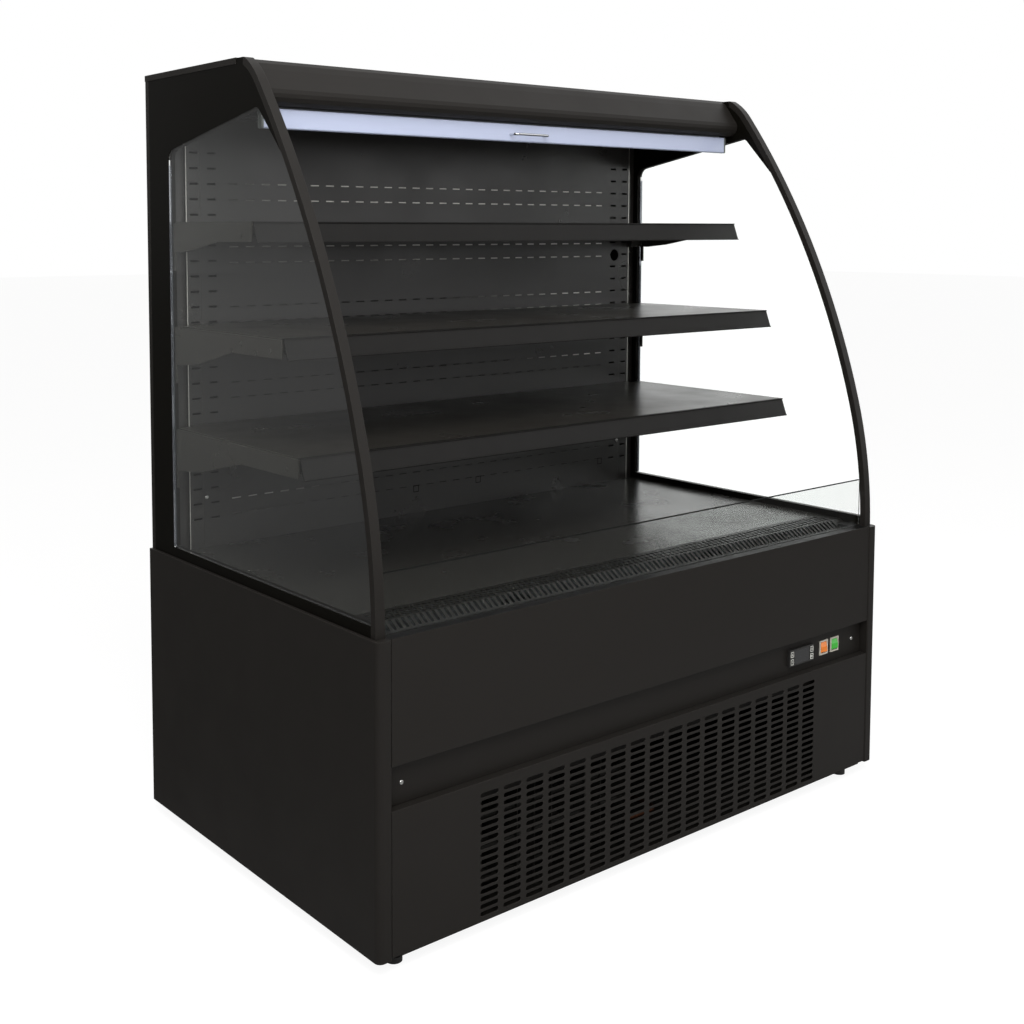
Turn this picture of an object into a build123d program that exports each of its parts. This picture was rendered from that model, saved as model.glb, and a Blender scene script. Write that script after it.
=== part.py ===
from build123d import *
import math
import os

os.makedirs("parts", exist_ok=True)

# Open multideck display fridge: a low cabinet that holds the cooling machine, and over it a
# shelved display space between two glazed ends with a bowed front edge.
# Millimetres. +X is to the right of someone facing the fridge, the front faces -Y, +Z is up.
# The origin lies on the floor under the middle of the fridge.

# ---------------------------------------------------------------- driving sizes
WIDTH = 1300.0            # over the two side panels
DEPTH = 770.0             # side panels' front faces to the rear wall
HEIGHT = 1455.0           # floor to roof
FOOT_HEIGHT = 28.0        # floor to the underside of the cabinet
BODY_HEIGHT = 508.0       # side panels, from their underside to their top
SHEET = 1.5               # folded sheet steel
FACE = 0.3                # clearance between two pieces that slide past each other
PANEL_GAP = 1.2           # visible gap between a front panel and a side panel

SIDE_WIDTH = 26.4         # front flange of a side panel
SIDE_RADIUS = 11.0        # its front vertical fold
SIDE_INNER_RADIUS = 2.5   # the fold along the seam with the front panels
SIDE_LIP = 25.0           # its inward return
PANEL_BACK = 1.5          # how far the front panels stand behind the side panels' faces

FRAME_INSET = 6.3         # end frame, in from the side panel's face
FRAME_THICK = 17.7        # end frame and edge bar, across the fridge
REAR_SKIN = 13.0          # rear wall behind the end frames
REAR_CORE = 30.0          # rear wall between the end frames
DUCT_DEPTH = 43.0         # air duct between the rear wall and the back panel
UPRIGHT_STEP = 8.0        # an upright's side flange stands this far behind its slotted face
RAIL_HEIGHT = 19.0        # bottom rail of an end frame
COLUMN_DEPTH = 79.0       # rear column of an end frame
ROOF_THICK = 29.0         # foamed roof slab
ROOF_FRONT = 420.0        # front datum to the front of the roof slab
CAP_SHEET = 1.0           # roof cap that laps over the end frames
CAP_LIP = 11.0            # its turned-down edge
CANOPY_TALL = 83.5        # roof top down to the ceiling over the shelves

TUB_FRONT = 32.0          # front datum to the tub
TUB_BOTTOM = 318.0        # underside of the tub
TUB_WALL = 25.0
TUB_FLOOR = 30.0
DECK_RISE = 6.0           # deck top over the side panels' top

# Bowed front edge: two long arcs, then a tighter bend into the roof.
BAR_FOOT = 13.4           # front datum to the foot of the bar
BAR_DEPTH = 12.7
LOW_ARC = 1015.2
LOW_TURN = 15.09          # degrees
HIGH_ARC = 1809.9
HEAD_ARC = 140.0
HEAD_DROP = 40.0          # roof top down to where the long arc ends
HEAD_TILT = 60.0          # degrees from the vertical at the end of the head arc

GLASS = 6.0
GLASS_INSET = 1.1         # in from the end frame's outer face
GLASS_FIT = 0.2
PANEL_FIT = 0.2           # back panel between the uprights

FRONT_PANEL_BOTTOM = 308.0
FRONT_PANEL_TOP = 513.0
RISER_GLASS = 4.0
RISER_PLACE = 26.3        # front datum to the riser glass
RISER_TOP = 606.0
RISER_SEAT = 497.0
CONTROL_FACE = 19.3       # front datum to the recessed control plate
CONTROL_BOTTOM = 200.0
CONTROL_TOP = 330.0

GRILLE_BOTTOM = 3.0
GRILLE_TOP = 237.3
GRILLE_COLUMNS = 18
GRILLE_COLUMN_PITCH = 50.0
GRILLE_SLOT_WIDTH = 38.9
GRILLE_ROWS = 17
GRILLE_ROW_PITCH = 12.5
GRILLE_SLOT_HEIGHT = 8.0
GRILLE_LOWEST_SLOT = 14.4     # middle of the lowest slot row
GRILLE_TRAVEL = 120.0         # the grille panel pulls forward off its clips

RETURN_START = 34.0       # air return grille: slots start
RETURN_SLOT = 69.0
RETURN_PITCH = 12.5
RETURN_SLOT_WIDTH = 6.5
RETURN_END = 128.0        # rear edge of the air return grille
RETURN_BLOCK = 20.0       # plain end of the grille beyond the slots
LIFT = 40.0               # the return grille and the deck lift out; travel shown

SLOT_PITCH = 29.5         # upright slots
FIRST_SLOT = 571.3
UPRIGHT_FRONT = 30.0      # width of an upright's slotted face
UPRIGHT_EDGE = 602.0      # its outer edge from the middle
SLOT_LONG = 18.0
SLOT_HIGH = 4.0
DASH_ROWS = (1222.0, 1190.6, 1099.6, 1068.7, 982.4, 952.0, 834.0, 804.0, 604.0, 573.8)
DASH_LONG = 20.0
DASH_HIGH = 2.5
DASH_PITCH = 37.0

SHELF_TOPS = (1146.8, 952.0, 757.1)
SHELF_FRONTS = (381.0, 285.5, 237.5)
SHELF_HEELS = (56.0, 74.0, 80.0)       # depth of each bracket at its rear
SHELF_FLATS = (128.0, 170.0, 190.0)    # straight lower edge of each bracket
SHELF_FOLD = 28.0
BRACKET_SHEET = 3.0
BRACKET_NOSE = 35.0
SHELF_TILT_ROOM = 3.0
RAIL_LEAN = 12.3
RAIL_TALL = 37.0
RAIL_LEG = 6.0
RAIL_WALL = 2.0

BLIND_BAR_BACK = 403.0
BLIND_BAR_DEPTH = 12.0
BLIND_BAR_DROP = 119.5     # roof top down to the underside of the parked bar
BLIND_BAR_TALL = 34.5
BLIND_BAR_HALF = 608.0
ROLLER_RADIUS = 18.0
ROLLER_PLACE = (422.5, 55.0)  # from the front datum, and down from the roof top
CLOTH = 1.0

# ---------------------------------------------------------------- places
HALF = WIDTH / 2
Y0 = -DEPTH / 2                         # front datum: face of the side panels
REAR = DEPTH                            # rear of the fridge, from the front datum
Z0 = FOOT_HEIGHT                        # height datum: underside of the side panels
TOP = HEIGHT - FOOT_HEIGHT              # roof top, from the height datum
INNER = HALF - SIDE_WIDTH               # inside faces of the side panels
PANEL_HALF = INNER - PANEL_GAP
FRAME_OUT = HALF - FRAME_INSET
FRAME_IN = FRAME_OUT - FRAME_THICK
CANOPY_HALF = FRAME_IN - FACE
WALL_FRONT = REAR - REAR_SKIN - REAR_CORE
FRAME_REAR = REAR - REAR_SKIN
BACK_FACE = WALL_FRONT - DUCT_DEPTH     # back panel and the uprights' slotted faces are flush
FLANGE_FACE = BACK_FACE + UPRIGHT_STEP
COLUMN_FACE = FRAME_REAR - COLUMN_DEPTH
FRAME_TOP = TOP - CAP_SHEET
ROOF_UNDER = FRAME_TOP - ROOF_THICK
DECK_TOP = BODY_HEIGHT + DECK_RISE
RAIL_TOP = BODY_HEIGHT + RAIL_HEIGHT
TUB_INSIDE = TUB_BOTTOM + TUB_FLOOR
GLASS_OUT = FRAME_OUT - GLASS_INSET
GLASS_IN = GLASS_OUT - GLASS
CEILING = TOP - CANOPY_TALL             # underside of the canopy duct
ROLLER_AXIS = (ROLLER_PLACE[0], TOP - ROLLER_PLACE[1])
BLIND_BAR_BOTTOM = TOP - BLIND_BAR_DROP


# ---------------------------------------------------------------- small makers
def block(x0, x1, y0, y1, z0, z1, mode=Mode.ADD):
    """A box between two corners, y from the front datum and z from the height datum."""
    middle = ((x0 + x1) / 2, (y0 + y1) / 2 + Y0, (z0 + z1) / 2 + Z0)
    with Locations(middle):
        Box(x1 - x0, y1 - y0, z1 - z0, mode=mode)


def outline_yz(points, x):
    """A closed outline of straight runs in a plane across the fridge at x."""
    with BuildSketch(Plane.YZ.offset(x)) as flat:
        with BuildLine():
            Polyline(*[(y + Y0, z + Z0) for y, z in points], close=True)
        make_face()
    return flat.sketch


def rod_x(x0, x1, y, z, radius, mode=Mode.ADD):
    """A round bar along X."""
    with Locations(Location(((x0 + x1) / 2, y + Y0, z + Z0), (0, 90, 0))):
        Cylinder(radius, x1 - x0, mode=mode)


def rod_y(x, y0, y1, z, radius, mode=Mode.ADD):
    """A round bar along Y."""
    with Locations(Location((x, (y0 + y1) / 2 + Y0, z + Z0), (90, 0, 0))):
        Cylinder(radius, y1 - y0, mode=mode)


def rod_z(x, y, z0, z1, radius, mode=Mode.ADD):
    """A round bar along Z."""
    with Locations((x, y + Y0, (z0 + z1) / 2 + Z0)):
        Cylinder(radius, z1 - z0, mode=mode)


def save(part, name):
    part.label = name
    export_step(part, f"parts/{name}.step")


def save_pair(maker, name):
    """Write a left piece and its mirror image on the right."""
    left = maker()
    save(left, f"{name}_left")
    save(mirror(left, about=Plane.YZ), f"{name}_right")


# ---------------------------------------------------------------- side panels
def fold_front_corners(sketch):
    """Round the outer and the inner front corner of a left side panel's outline."""
    outer = sketch.vertices().group_by(Axis.Y)[0].sort_by(Axis.X)[0]
    fillet(outer, SIDE_RADIUS)
    inner = sketch.vertices().group_by(Axis.Y)[0].sort_by(Axis.X)[-1]
    fillet(inner, SIDE_INNER_RADIUS)


def side_panel():
    """Sheet skin folded round the front corner, open on its inner side, with a flat top flange."""
    x_out, x_in = -HALF, -INNER
    with BuildPart() as panel:
        with BuildSketch(Plane.XY.offset(Z0)) as wall:
            with Locations(((x_out + x_in) / 2, REAR / 2 + Y0)):
                Rectangle(SIDE_WIDTH, REAR)
            fold_front_corners(wall)
            skin = wall.sketch
            inside = offset(skin, amount=-SHEET, mode=Mode.PRIVATE)
            add(inside, mode=Mode.SUBTRACT)
            with Locations((x_in, REAR / 2 + Y0)):
                Rectangle(4 * SHEET, REAR - 2 * SIDE_LIP, mode=Mode.SUBTRACT)
        extrude(amount=BODY_HEIGHT)
        with BuildSketch(Plane.XY.offset(Z0 + BODY_HEIGHT - SHEET)) as flange:
            with Locations(((x_out + x_in) / 2, REAR / 2 + Y0)):
                Rectangle(SIDE_WIDTH, REAR)
            fold_front_corners(flange)
        extrude(amount=SHEET)
    return panel.part


save_pair(side_panel, "side_panel")

# ---------------------------------------------------------------- base frame and feet
PAN_FRONT = PANEL_BACK + SHEET
PAN = GRILLE_BOTTOM
FOOT_INSET = (59.6, 42.0)       # in from a side panel's face, and from the front datum
FOOT_RADIUS = 14.0
FOOT_PAD = 10.0
STUD_RADIUS = 5.0
STUD_PLAY = 0.3
NUT = 8.0
FOOT_X = HALF - FOOT_INSET[0]
FOOT_YS = (FOOT_INSET[1], REAR - FOOT_INSET[1])

with BuildPart() as base_frame:
    block(-INNER, INNER, TUB_FRONT, REAR - SHEET, 0, PAN)
    block(-FOOT_X - FOOT_RADIUS, FOOT_X + FOOT_RADIUS, PAN_FRONT, TUB_FRONT, 0, PAN)
    for side in (-1, 1):
        wall_x = sorted((side * INNER, side * (INNER - 2 * SHEET)))
        block(*wall_x, TUB_FRONT, REAR - SHEET, PAN, TUB_BOTTOM)
        flange_x = sorted((side * INNER, side * (INNER - TUB_WALL)))
        block(*flange_x, TUB_FRONT, REAR - SHEET, TUB_BOTTOM - 2 * SHEET, TUB_BOTTOM)
        for foot_y in FOOT_YS:
            rod_z(side * FOOT_X, foot_y, 0, PAN, STUD_RADIUS + STUD_PLAY, Mode.SUBTRACT)
save(base_frame.part, "base_frame")

with BuildPart() as levelling_feet:
    for side in (-1, 1):
        for foot_y in FOOT_YS:
            rod_z(side * FOOT_X, foot_y, -FOOT_HEIGHT, FOOT_PAD - FOOT_HEIGHT, FOOT_RADIUS)
            rod_z(side * FOOT_X, foot_y, FOOT_PAD - FOOT_HEIGHT, 2 * PAN, STUD_RADIUS)
            with BuildSketch(Plane.XY.offset(Z0 - NUT)):
                with Locations((side * FOOT_X, foot_y + Y0)):
                    RegularPolygon(STUD_RADIUS * 1.9, 6)
            extrude(amount=NUT)
save(levelling_feet.part, "levelling_feet")

# ---------------------------------------------------------------- insulated tub
PIPE = 5.0                # radius of the copper tubes
PIPE_PLAY = 0.3
SUCTION_DROP = (560.0, 400.0)   # where the suction line goes down through the tub
LIQUID_RISE = (40.0, 250.0)     # where the liquid line comes up through it
PIPE_HOLES = (SUCTION_DROP, LIQUID_RISE)
TUB_STEP = 30.0           # depth of the step behind the front wall's thin lip
TUB_LIP = 4.0
TUB_TOP = BODY_HEIGHT
with BuildPart() as insulated_tub:
    block(-INNER, INNER, TUB_FRONT, WALL_FRONT, TUB_BOTTOM, TUB_TOP)
    block(-INNER + TUB_WALL, INNER - TUB_WALL, TUB_FRONT + TUB_WALL, WALL_FRONT,
          TUB_INSIDE, TUB_TOP, Mode.SUBTRACT)
    block(-INNER + TUB_WALL, INNER - TUB_WALL, TUB_FRONT + TUB_LIP, TUB_FRONT + TUB_WALL,
          TUB_TOP - TUB_STEP, TUB_TOP, Mode.SUBTRACT)
    for pipe_x, pipe_y in PIPE_HOLES:
        rod_z(pipe_x, pipe_y, TUB_BOTTOM - 1, TUB_INSIDE + 1, PIPE + PIPE_PLAY, Mode.SUBTRACT)
save(insulated_tub.part, "insulated_tub")

# ---------------------------------------------------------------- rear wall
with BuildPart() as rear_wall:
    block(-INNER, INNER, WALL_FRONT, REAR - SIDE_LIP, TUB_BOTTOM, BODY_HEIGHT)
    block(-INNER + SHEET + FACE, INNER - SHEET - FACE, REAR - SIDE_LIP, REAR, TUB_BOTTOM, BODY_HEIGHT)
    block(-FRAME_IN, FRAME_IN, WALL_FRONT, FRAME_REAR, BODY_HEIGHT, FRAME_TOP)
    block(-FRAME_OUT, FRAME_OUT, FRAME_REAR, REAR, BODY_HEIGHT, FRAME_TOP)
save(rear_wall.part, "rear_wall")

# ---------------------------------------------------------------- rear cover of the machine space
LOUVRE_LONG = 60.0
LOUVRE_HIGH = 5.0
LOUVRE_GRID = (6, 8)
GLAND_PLACE = (-520.0, 60.0)
GLAND_RADIUS = 10.0
with BuildPart() as rear_cover:
    block(-INNER + SHEET + FACE, INNER - SHEET - FACE, REAR - SHEET, REAR, GRILLE_BOTTOM, TUB_BOTTOM)
    with BuildSketch(Plane.XZ.offset(-REAR - Y0)):
        with Locations((0, Z0 + TUB_BOTTOM / 2)):
            with GridLocations(LOUVRE_LONG * 1.5, LOUVRE_HIGH * 4, *LOUVRE_GRID):
                SlotOverall(LOUVRE_LONG, LOUVRE_HIGH)
        with Locations((GLAND_PLACE[0], GLAND_PLACE[1] + Z0)):
            Circle(GLAND_RADIUS)
    extrude(amount=2 * SHEET, both=True, mode=Mode.SUBTRACT)

GLAND_FLANGE = 4.0
GLAND_OUT = GLAND_RADIUS + 2.5
CORD_HOLE = 4.0
with BuildPart() as gland:
    gland_front = REAR - SHEET - GLAND_FLANGE
    rod_y(GLAND_PLACE[0], gland_front, REAR - SHEET, GLAND_PLACE[1], GLAND_OUT)
    rod_y(GLAND_PLACE[0], REAR - SHEET, REAR, GLAND_PLACE[1], GLAND_RADIUS)
    rod_y(GLAND_PLACE[0], gland_front, REAR, GLAND_PLACE[1], CORD_HOLE, Mode.SUBTRACT)
save(Compound(children=[rear_cover.part, gland.part]), "rear_cover")

# ---------------------------------------------------------------- bowed edge bars
def bow_point(start, radius, turn_from, turn_to):
    """End of an arc that turns from one heading to another, headings in degrees off the vertical."""
    first, last = math.radians(turn_from), math.radians(turn_to)
    y = start[0] + radius * (math.cos(first) - math.cos(last))
    z = start[1] + radius * (math.sin(last) - math.sin(first))
    return (y, z)


def bow_arcs(inset):
    """The bowed edge, moved back by inset: (start, middle, end) of each arc and the end heading."""
    low = (BAR_FOOT + inset, BODY_HEIGHT)
    low_end = bow_point(low, LOW_ARC - inset, 0, LOW_TURN)
    outer_low_end = bow_point((BAR_FOOT, BODY_HEIGHT), LOW_ARC, 0, LOW_TURN)
    rise = TOP - HEAD_DROP - outer_low_end[1]
    high_turn = math.degrees(math.asin(math.sin(math.radians(LOW_TURN)) + rise / HIGH_ARC))
    headings = [(0, LOW_TURN, LOW_ARC), (LOW_TURN, high_turn, HIGH_ARC), (high_turn, HEAD_TILT, HEAD_ARC)]
    arcs = []
    start = low
    for turn_from, turn_to, radius in headings:
        middle = bow_point(start, radius - inset, turn_from, (turn_from + turn_to) / 2)
        end = bow_point(start, radius - inset, turn_from, turn_to)
        arcs.append((start, middle, end))
        start = end
    return arcs


def placed(point):
    return (point[0] + Y0, point[1] + Z0)


OUTER_BOW = bow_arcs(0)
INNER_BOW = bow_arcs(BAR_DEPTH)
BOW_TIP = OUTER_BOW[-1][2]
TIP_ROUND = (FRAME_TOP - BOW_TIP[1]) / (1 - math.sin(math.radians(HEAD_TILT)))
BAR_END = BOW_TIP[0] + TIP_ROUND * math.cos(math.radians(HEAD_TILT))


def edge_bar():
    """Bowed box section between the side panel and the roof, in front of the end glass."""
    x = -FRAME_OUT
    tip_middle = bow_point(BOW_TIP, TIP_ROUND, HEAD_TILT, (HEAD_TILT + 90) / 2)
    with BuildPart() as bar:
        with BuildSketch(Plane.YZ.offset(x)):
            with BuildLine():
                for start, middle, end in OUTER_BOW + INNER_BOW:
                    ThreePointArc(placed(start), placed(middle), placed(end))
                Line(placed(OUTER_BOW[0][0]), placed(INNER_BOW[0][0]))
                ThreePointArc(placed(BOW_TIP), placed(tip_middle), placed((BAR_END, FRAME_TOP)))
                Polyline(placed((BAR_END, FRAME_TOP)), placed((BAR_END, INNER_BOW[-1][2][1])),
                         placed(INNER_BOW[-1][2]))
            make_face()
        extrude(amount=FRAME_THICK)
    return bar.part


save_pair(edge_bar, "edge_bar")

# ---------------------------------------------------------------- end frames and glass
WINDOW_REAR_RADIUS = 20.0
WINDOW_REAR_TOP = TOP - 147.5  # top rear corner of the window
WINDOW_FRONT_TOP = (350.5, TOP - 87.5)
WINDOW_BROW = (312.2, TOP - 128.5)  # where the window's rounded front top meets the bar
WINDOW_BROW_RADIUS = 18.0
AHEAD = -200.0                 # a place well in front of the fridge


def window_outline(shrink=0.0):
    """The window behind the edge bar in (y, z), its edges moved in by shrink."""
    top_slope = (WINDOW_FRONT_TOP[1] - WINDOW_REAR_TOP) / (COLUMN_FACE - WINDOW_FRONT_TOP[0])
    rear = COLUMN_FACE - shrink
    front_top = (WINDOW_FRONT_TOP[0], WINDOW_FRONT_TOP[1] - shrink)
    brow_slope = (WINDOW_FRONT_TOP[1] - WINDOW_BROW[1]) / (WINDOW_FRONT_TOP[0] - WINDOW_BROW[0])
    ahead = (AHEAD, front_top[1] - brow_slope * (front_top[0] - AHEAD))
    rear_top = front_top[1] - top_slope * (rear - front_top[0])
    with BuildSketch() as window:
        with BuildLine():
            Polyline(placed((AHEAD, RAIL_TOP + shrink)), placed((rear, RAIL_TOP + shrink)),
                     placed((rear, rear_top)), placed(front_top), placed(ahead), close=True)
        make_face()
        corner = window.vertices().sort_by_distance(placed((rear, rear_top)))[0]
        fillet(corner, WINDOW_REAR_RADIUS - shrink)
        brow = window.vertices().sort_by_distance(placed(front_top))[0]
        fillet(brow, WINDOW_BROW_RADIUS)
        add(ahead_of_bow(shrink), mode=Mode.SUBTRACT)
    return window.sketch


def ahead_of_bow(extra=0.0):
    """Everything in front of the rear edge of the bar, and extra."""
    arcs = bow_arcs(BAR_DEPTH + extra)
    with BuildSketch() as front:
        with BuildLine():
            for start, middle, end in arcs:
                ThreePointArc(placed(start), placed(middle), placed(end))
            Polyline(placed(arcs[-1][2]), placed((BAR_END + extra, arcs[-1][2][1])),
                     placed((BAR_END + extra, 2 * TOP)), placed((AHEAD, 2 * TOP)),
                     placed((AHEAD, 0)), placed((arcs[0][0][0], 0)), placed(arcs[0][0]))
        make_face()
    return front.sketch


def end_frame():
    """Rear column, bottom rail and head in one folded piece; the edge bar closes it in front."""
    with BuildPart() as frame:
        with BuildSketch(Plane.YZ.offset(-FRAME_OUT)):
            with Locations(placed((FRAME_REAR / 2, (BODY_HEIGHT + FRAME_TOP) / 2))):
                Rectangle(FRAME_REAR, FRAME_TOP - BODY_HEIGHT)
            add(window_outline(), mode=Mode.SUBTRACT)
            add(ahead_of_bow(), mode=Mode.SUBTRACT)
        extrude(amount=FRAME_THICK)
    return frame.part


def end_glass():
    """Clear pane that fills the end frame's window."""
    with BuildPart() as pane:
        with BuildSketch(Plane.YZ.offset(-GLASS_OUT)):
            add(window_outline(GLASS_FIT))
        extrude(amount=GLASS)
    return pane.part


save_pair(end_frame, "end_frame")
save_pair(end_glass, "end_glass")

# ---------------------------------------------------------------- front panel over the controls
CHANNEL_PLAY = 0.25
CHANNEL_FRONT = RISER_PLACE - CHANNEL_PLAY
CHANNEL_REAR = RISER_PLACE + RISER_GLASS + CHANNEL_PLAY
with BuildPart() as front_panel:
    block(-PANEL_HALF, PANEL_HALF, PANEL_BACK, PANEL_BACK + SHEET, FRONT_PANEL_BOTTOM, FRONT_PANEL_TOP)
    block(-PANEL_HALF, PANEL_HALF, PANEL_BACK, CHANNEL_FRONT, FRONT_PANEL_TOP - SHEET, FRONT_PANEL_TOP)
    block(-PANEL_HALF, PANEL_HALF, PANEL_BACK, CONTROL_FACE,
          FRONT_PANEL_BOTTOM, FRONT_PANEL_BOTTOM + SHEET)
    block(-PANEL_HALF, PANEL_HALF, CHANNEL_FRONT - SHEET, CHANNEL_FRONT,
          RISER_SEAT - SHEET, FRONT_PANEL_TOP)
    block(-PANEL_HALF, PANEL_HALF, CHANNEL_FRONT, TUB_FRONT, RISER_SEAT - SHEET, RISER_SEAT)
    block(-PANEL_HALF, PANEL_HALF, CHANNEL_REAR, TUB_FRONT, RISER_SEAT, BODY_HEIGHT)
save(front_panel.part, "front_panel")

with BuildPart() as riser_glass:
    block(-PANEL_HALF + FACE, PANEL_HALF - FACE, RISER_PLACE, RISER_PLACE + RISER_GLASS,
          RISER_SEAT, RISER_TOP)
save(riser_glass.part, "riser_glass")

# ---------------------------------------------------------------- control plate and controls
CONTROL_LINE = 271.0          # height of the middle of the controls
CONTROLLER_X = 415.5
CONTROLLER_SIZE = (79.0, 34.0)
CONTROLLER_PROUD = 7.0
CONTROLLER_BODY = (71.0, 29.0, 55.0)
CUTOUT_PLAY = 0.25
ROCKER_XS = (496.0, 532.5)
ROCKER_NAMES = ("defrost_rocker", "light_rocker")
ROCKER_FRAME = (27.0, 30.0)
ROCKER_FRAME_PROUD = 2.0
ROCKER_WALL = 3.0
ROCKER_BODY_DEEP = 24.0
SCREW_X = 592.0
SCREW_HEAD = 4.0
SCREW_HEAD_TALL = 2.0
SCREW_SHANK = 2.0
SCREW_PLAY = 0.2
SCREW_LONG = 6.0

with BuildPart() as control_plate:
    block(-PANEL_HALF, PANEL_HALF, CONTROL_FACE, CONTROL_FACE + SHEET, CONTROL_BOTTOM, CONTROL_TOP)
    block(-PANEL_HALF, PANEL_HALF, CONTROL_FACE, TUB_FRONT, CONTROL_TOP - SHEET, CONTROL_TOP)
    block(-PANEL_HALF, PANEL_HALF, CONTROL_FACE, TUB_FRONT, CONTROL_BOTTOM, CONTROL_BOTTOM + SHEET)
    holes = [(CONTROLLER_X, CONTROLLER_BODY[0], CONTROLLER_BODY[1])]
    for rocker_x in ROCKER_XS:
        holes.append((rocker_x, ROCKER_FRAME[0] - ROCKER_WALL, ROCKER_FRAME[1] - ROCKER_WALL))
    for hole_x, wide, tall in holes:
        block(hole_x - wide / 2 - CUTOUT_PLAY, hole_x + wide / 2 + CUTOUT_PLAY,
              CONTROL_FACE - SHEET, CONTROL_FACE + 2 * SHEET,
              CONTROL_LINE - tall / 2 - CUTOUT_PLAY, CONTROL_LINE + tall / 2 + CUTOUT_PLAY, Mode.SUBTRACT)
    for side in (-1, 1):
        rod_y(side * SCREW_X, CONTROL_FACE - SHEET, CONTROL_FACE + 2 * SHEET, CONTROL_LINE,
              SCREW_SHANK + SCREW_PLAY, Mode.SUBTRACT)
save(control_plate.part, "control_plate")

KEY_SIZE = (11.0, 13.0)
KEY_THICK = 1.6
KEY_PROUD = 0.5
KEY_TRAVEL = 0.5
KEY_PLAY = 0.3
KEY_IN = 7.5               # middle of a key, in from the controller's end
KEY_RISE = 7.7             # middle of a key, up or down from the middle
LENS_SIZE = (46.0, 28.0)
LENS_THICK = 1.0
LENS_PLAY = 0.1
CONTROLLER_FRONT = CONTROL_FACE - CONTROLLER_PROUD
KEY_WELL = KEY_THICK - KEY_PROUD + KEY_TRAVEL + KEY_PLAY
KEYS = {
    "key_up_left": (-1, 1),
    "key_down_left": (-1, -1),
    "key_up_right": (1, 1),
    "key_down_right": (1, -1),
}


def key_middle(along, up):
    """Middle of one key, seen from the front."""
    return (CONTROLLER_X + along * (CONTROLLER_SIZE[0] / 2 - KEY_IN), CONTROL_LINE + up * KEY_RISE)


with BuildPart() as controller_body:
    block(CONTROLLER_X - CONTROLLER_SIZE[0] / 2, CONTROLLER_X + CONTROLLER_SIZE[0] / 2,
          CONTROLLER_FRONT, CONTROL_FACE,
          CONTROL_LINE - CONTROLLER_SIZE[1] / 2, CONTROL_LINE + CONTROLLER_SIZE[1] / 2)
    fillet(controller_body.edges().group_by(Axis.Y)[0], 0.8)
    block(CONTROLLER_X - CONTROLLER_BODY[0] / 2, CONTROLLER_X + CONTROLLER_BODY[0] / 2,
          CONTROL_FACE, CONTROL_FACE + CONTROLLER_BODY[2],
          CONTROL_LINE - CONTROLLER_BODY[1] / 2, CONTROL_LINE + CONTROLLER_BODY[1] / 2)
    block(CONTROLLER_X - LENS_SIZE[0] / 2 - LENS_PLAY, CONTROLLER_X + LENS_SIZE[0] / 2 + LENS_PLAY,
          CONTROLLER_FRONT - LENS_THICK, CONTROLLER_FRONT + LENS_THICK,
          CONTROL_LINE - LENS_SIZE[1] / 2 - LENS_PLAY, CONTROL_LINE + LENS_SIZE[1] / 2 + LENS_PLAY,
          Mode.SUBTRACT)
    for along, up in KEYS.values():
        key_x, key_z = key_middle(along, up)
        block(key_x - KEY_SIZE[0] / 2 - KEY_PLAY, key_x + KEY_SIZE[0] / 2 + KEY_PLAY,
              CONTROLLER_FRONT - KEY_THICK, CONTROLLER_FRONT + KEY_WELL,
              key_z - KEY_SIZE[1] / 2 - KEY_PLAY, key_z + KEY_SIZE[1] / 2 + KEY_PLAY, Mode.SUBTRACT)
save(controller_body.part, "controller_body")

with BuildPart() as controller_display:
    block(CONTROLLER_X - LENS_SIZE[0] / 2, CONTROLLER_X + LENS_SIZE[0] / 2,
          CONTROLLER_FRONT, CONTROLLER_FRONT + LENS_THICK,
          CONTROL_LINE - LENS_SIZE[1] / 2, CONTROL_LINE + LENS_SIZE[1] / 2)
save(controller_display.part, "controller_display")

for key_name, (along, up) in KEYS.items():
    key_x, key_z = key_middle(along, up)
    with BuildPart() as key_cap:
        block(key_x - KEY_SIZE[0] / 2, key_x + KEY_SIZE[0] / 2,
              CONTROLLER_FRONT - KEY_PROUD, CONTROLLER_FRONT - KEY_PROUD + KEY_THICK,
              key_z - KEY_SIZE[1] / 2, key_z + KEY_SIZE[1] / 2)
        fillet(key_cap.edges().group_by(Axis.Y)[0], 0.3)
    save(key_cap.part, key_name)

ROCKER_SWING = 12.0            # degrees either side of level
ROCKER_PLAY = 0.4
PIN_RADIUS = 1.5
PIN_PLAY = 0.05
ROCKER_PIVOT = CONTROL_FACE + 4.0
ROCKER_CROWN = 7.0             # pivot to the ridge in the middle of the rocker's face
ROCKER_ENDS = 5.2              # pivot to the face at the rocker's two ends
ROCKER_ROOT = 5.0
ROCKER_HALF_WIDE = ROCKER_FRAME[0] / 2 - ROCKER_WALL - ROCKER_PLAY
ROCKER_HALF_TALL = ROCKER_FRAME[1] / 2 - ROCKER_WALL - 1.3

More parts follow.
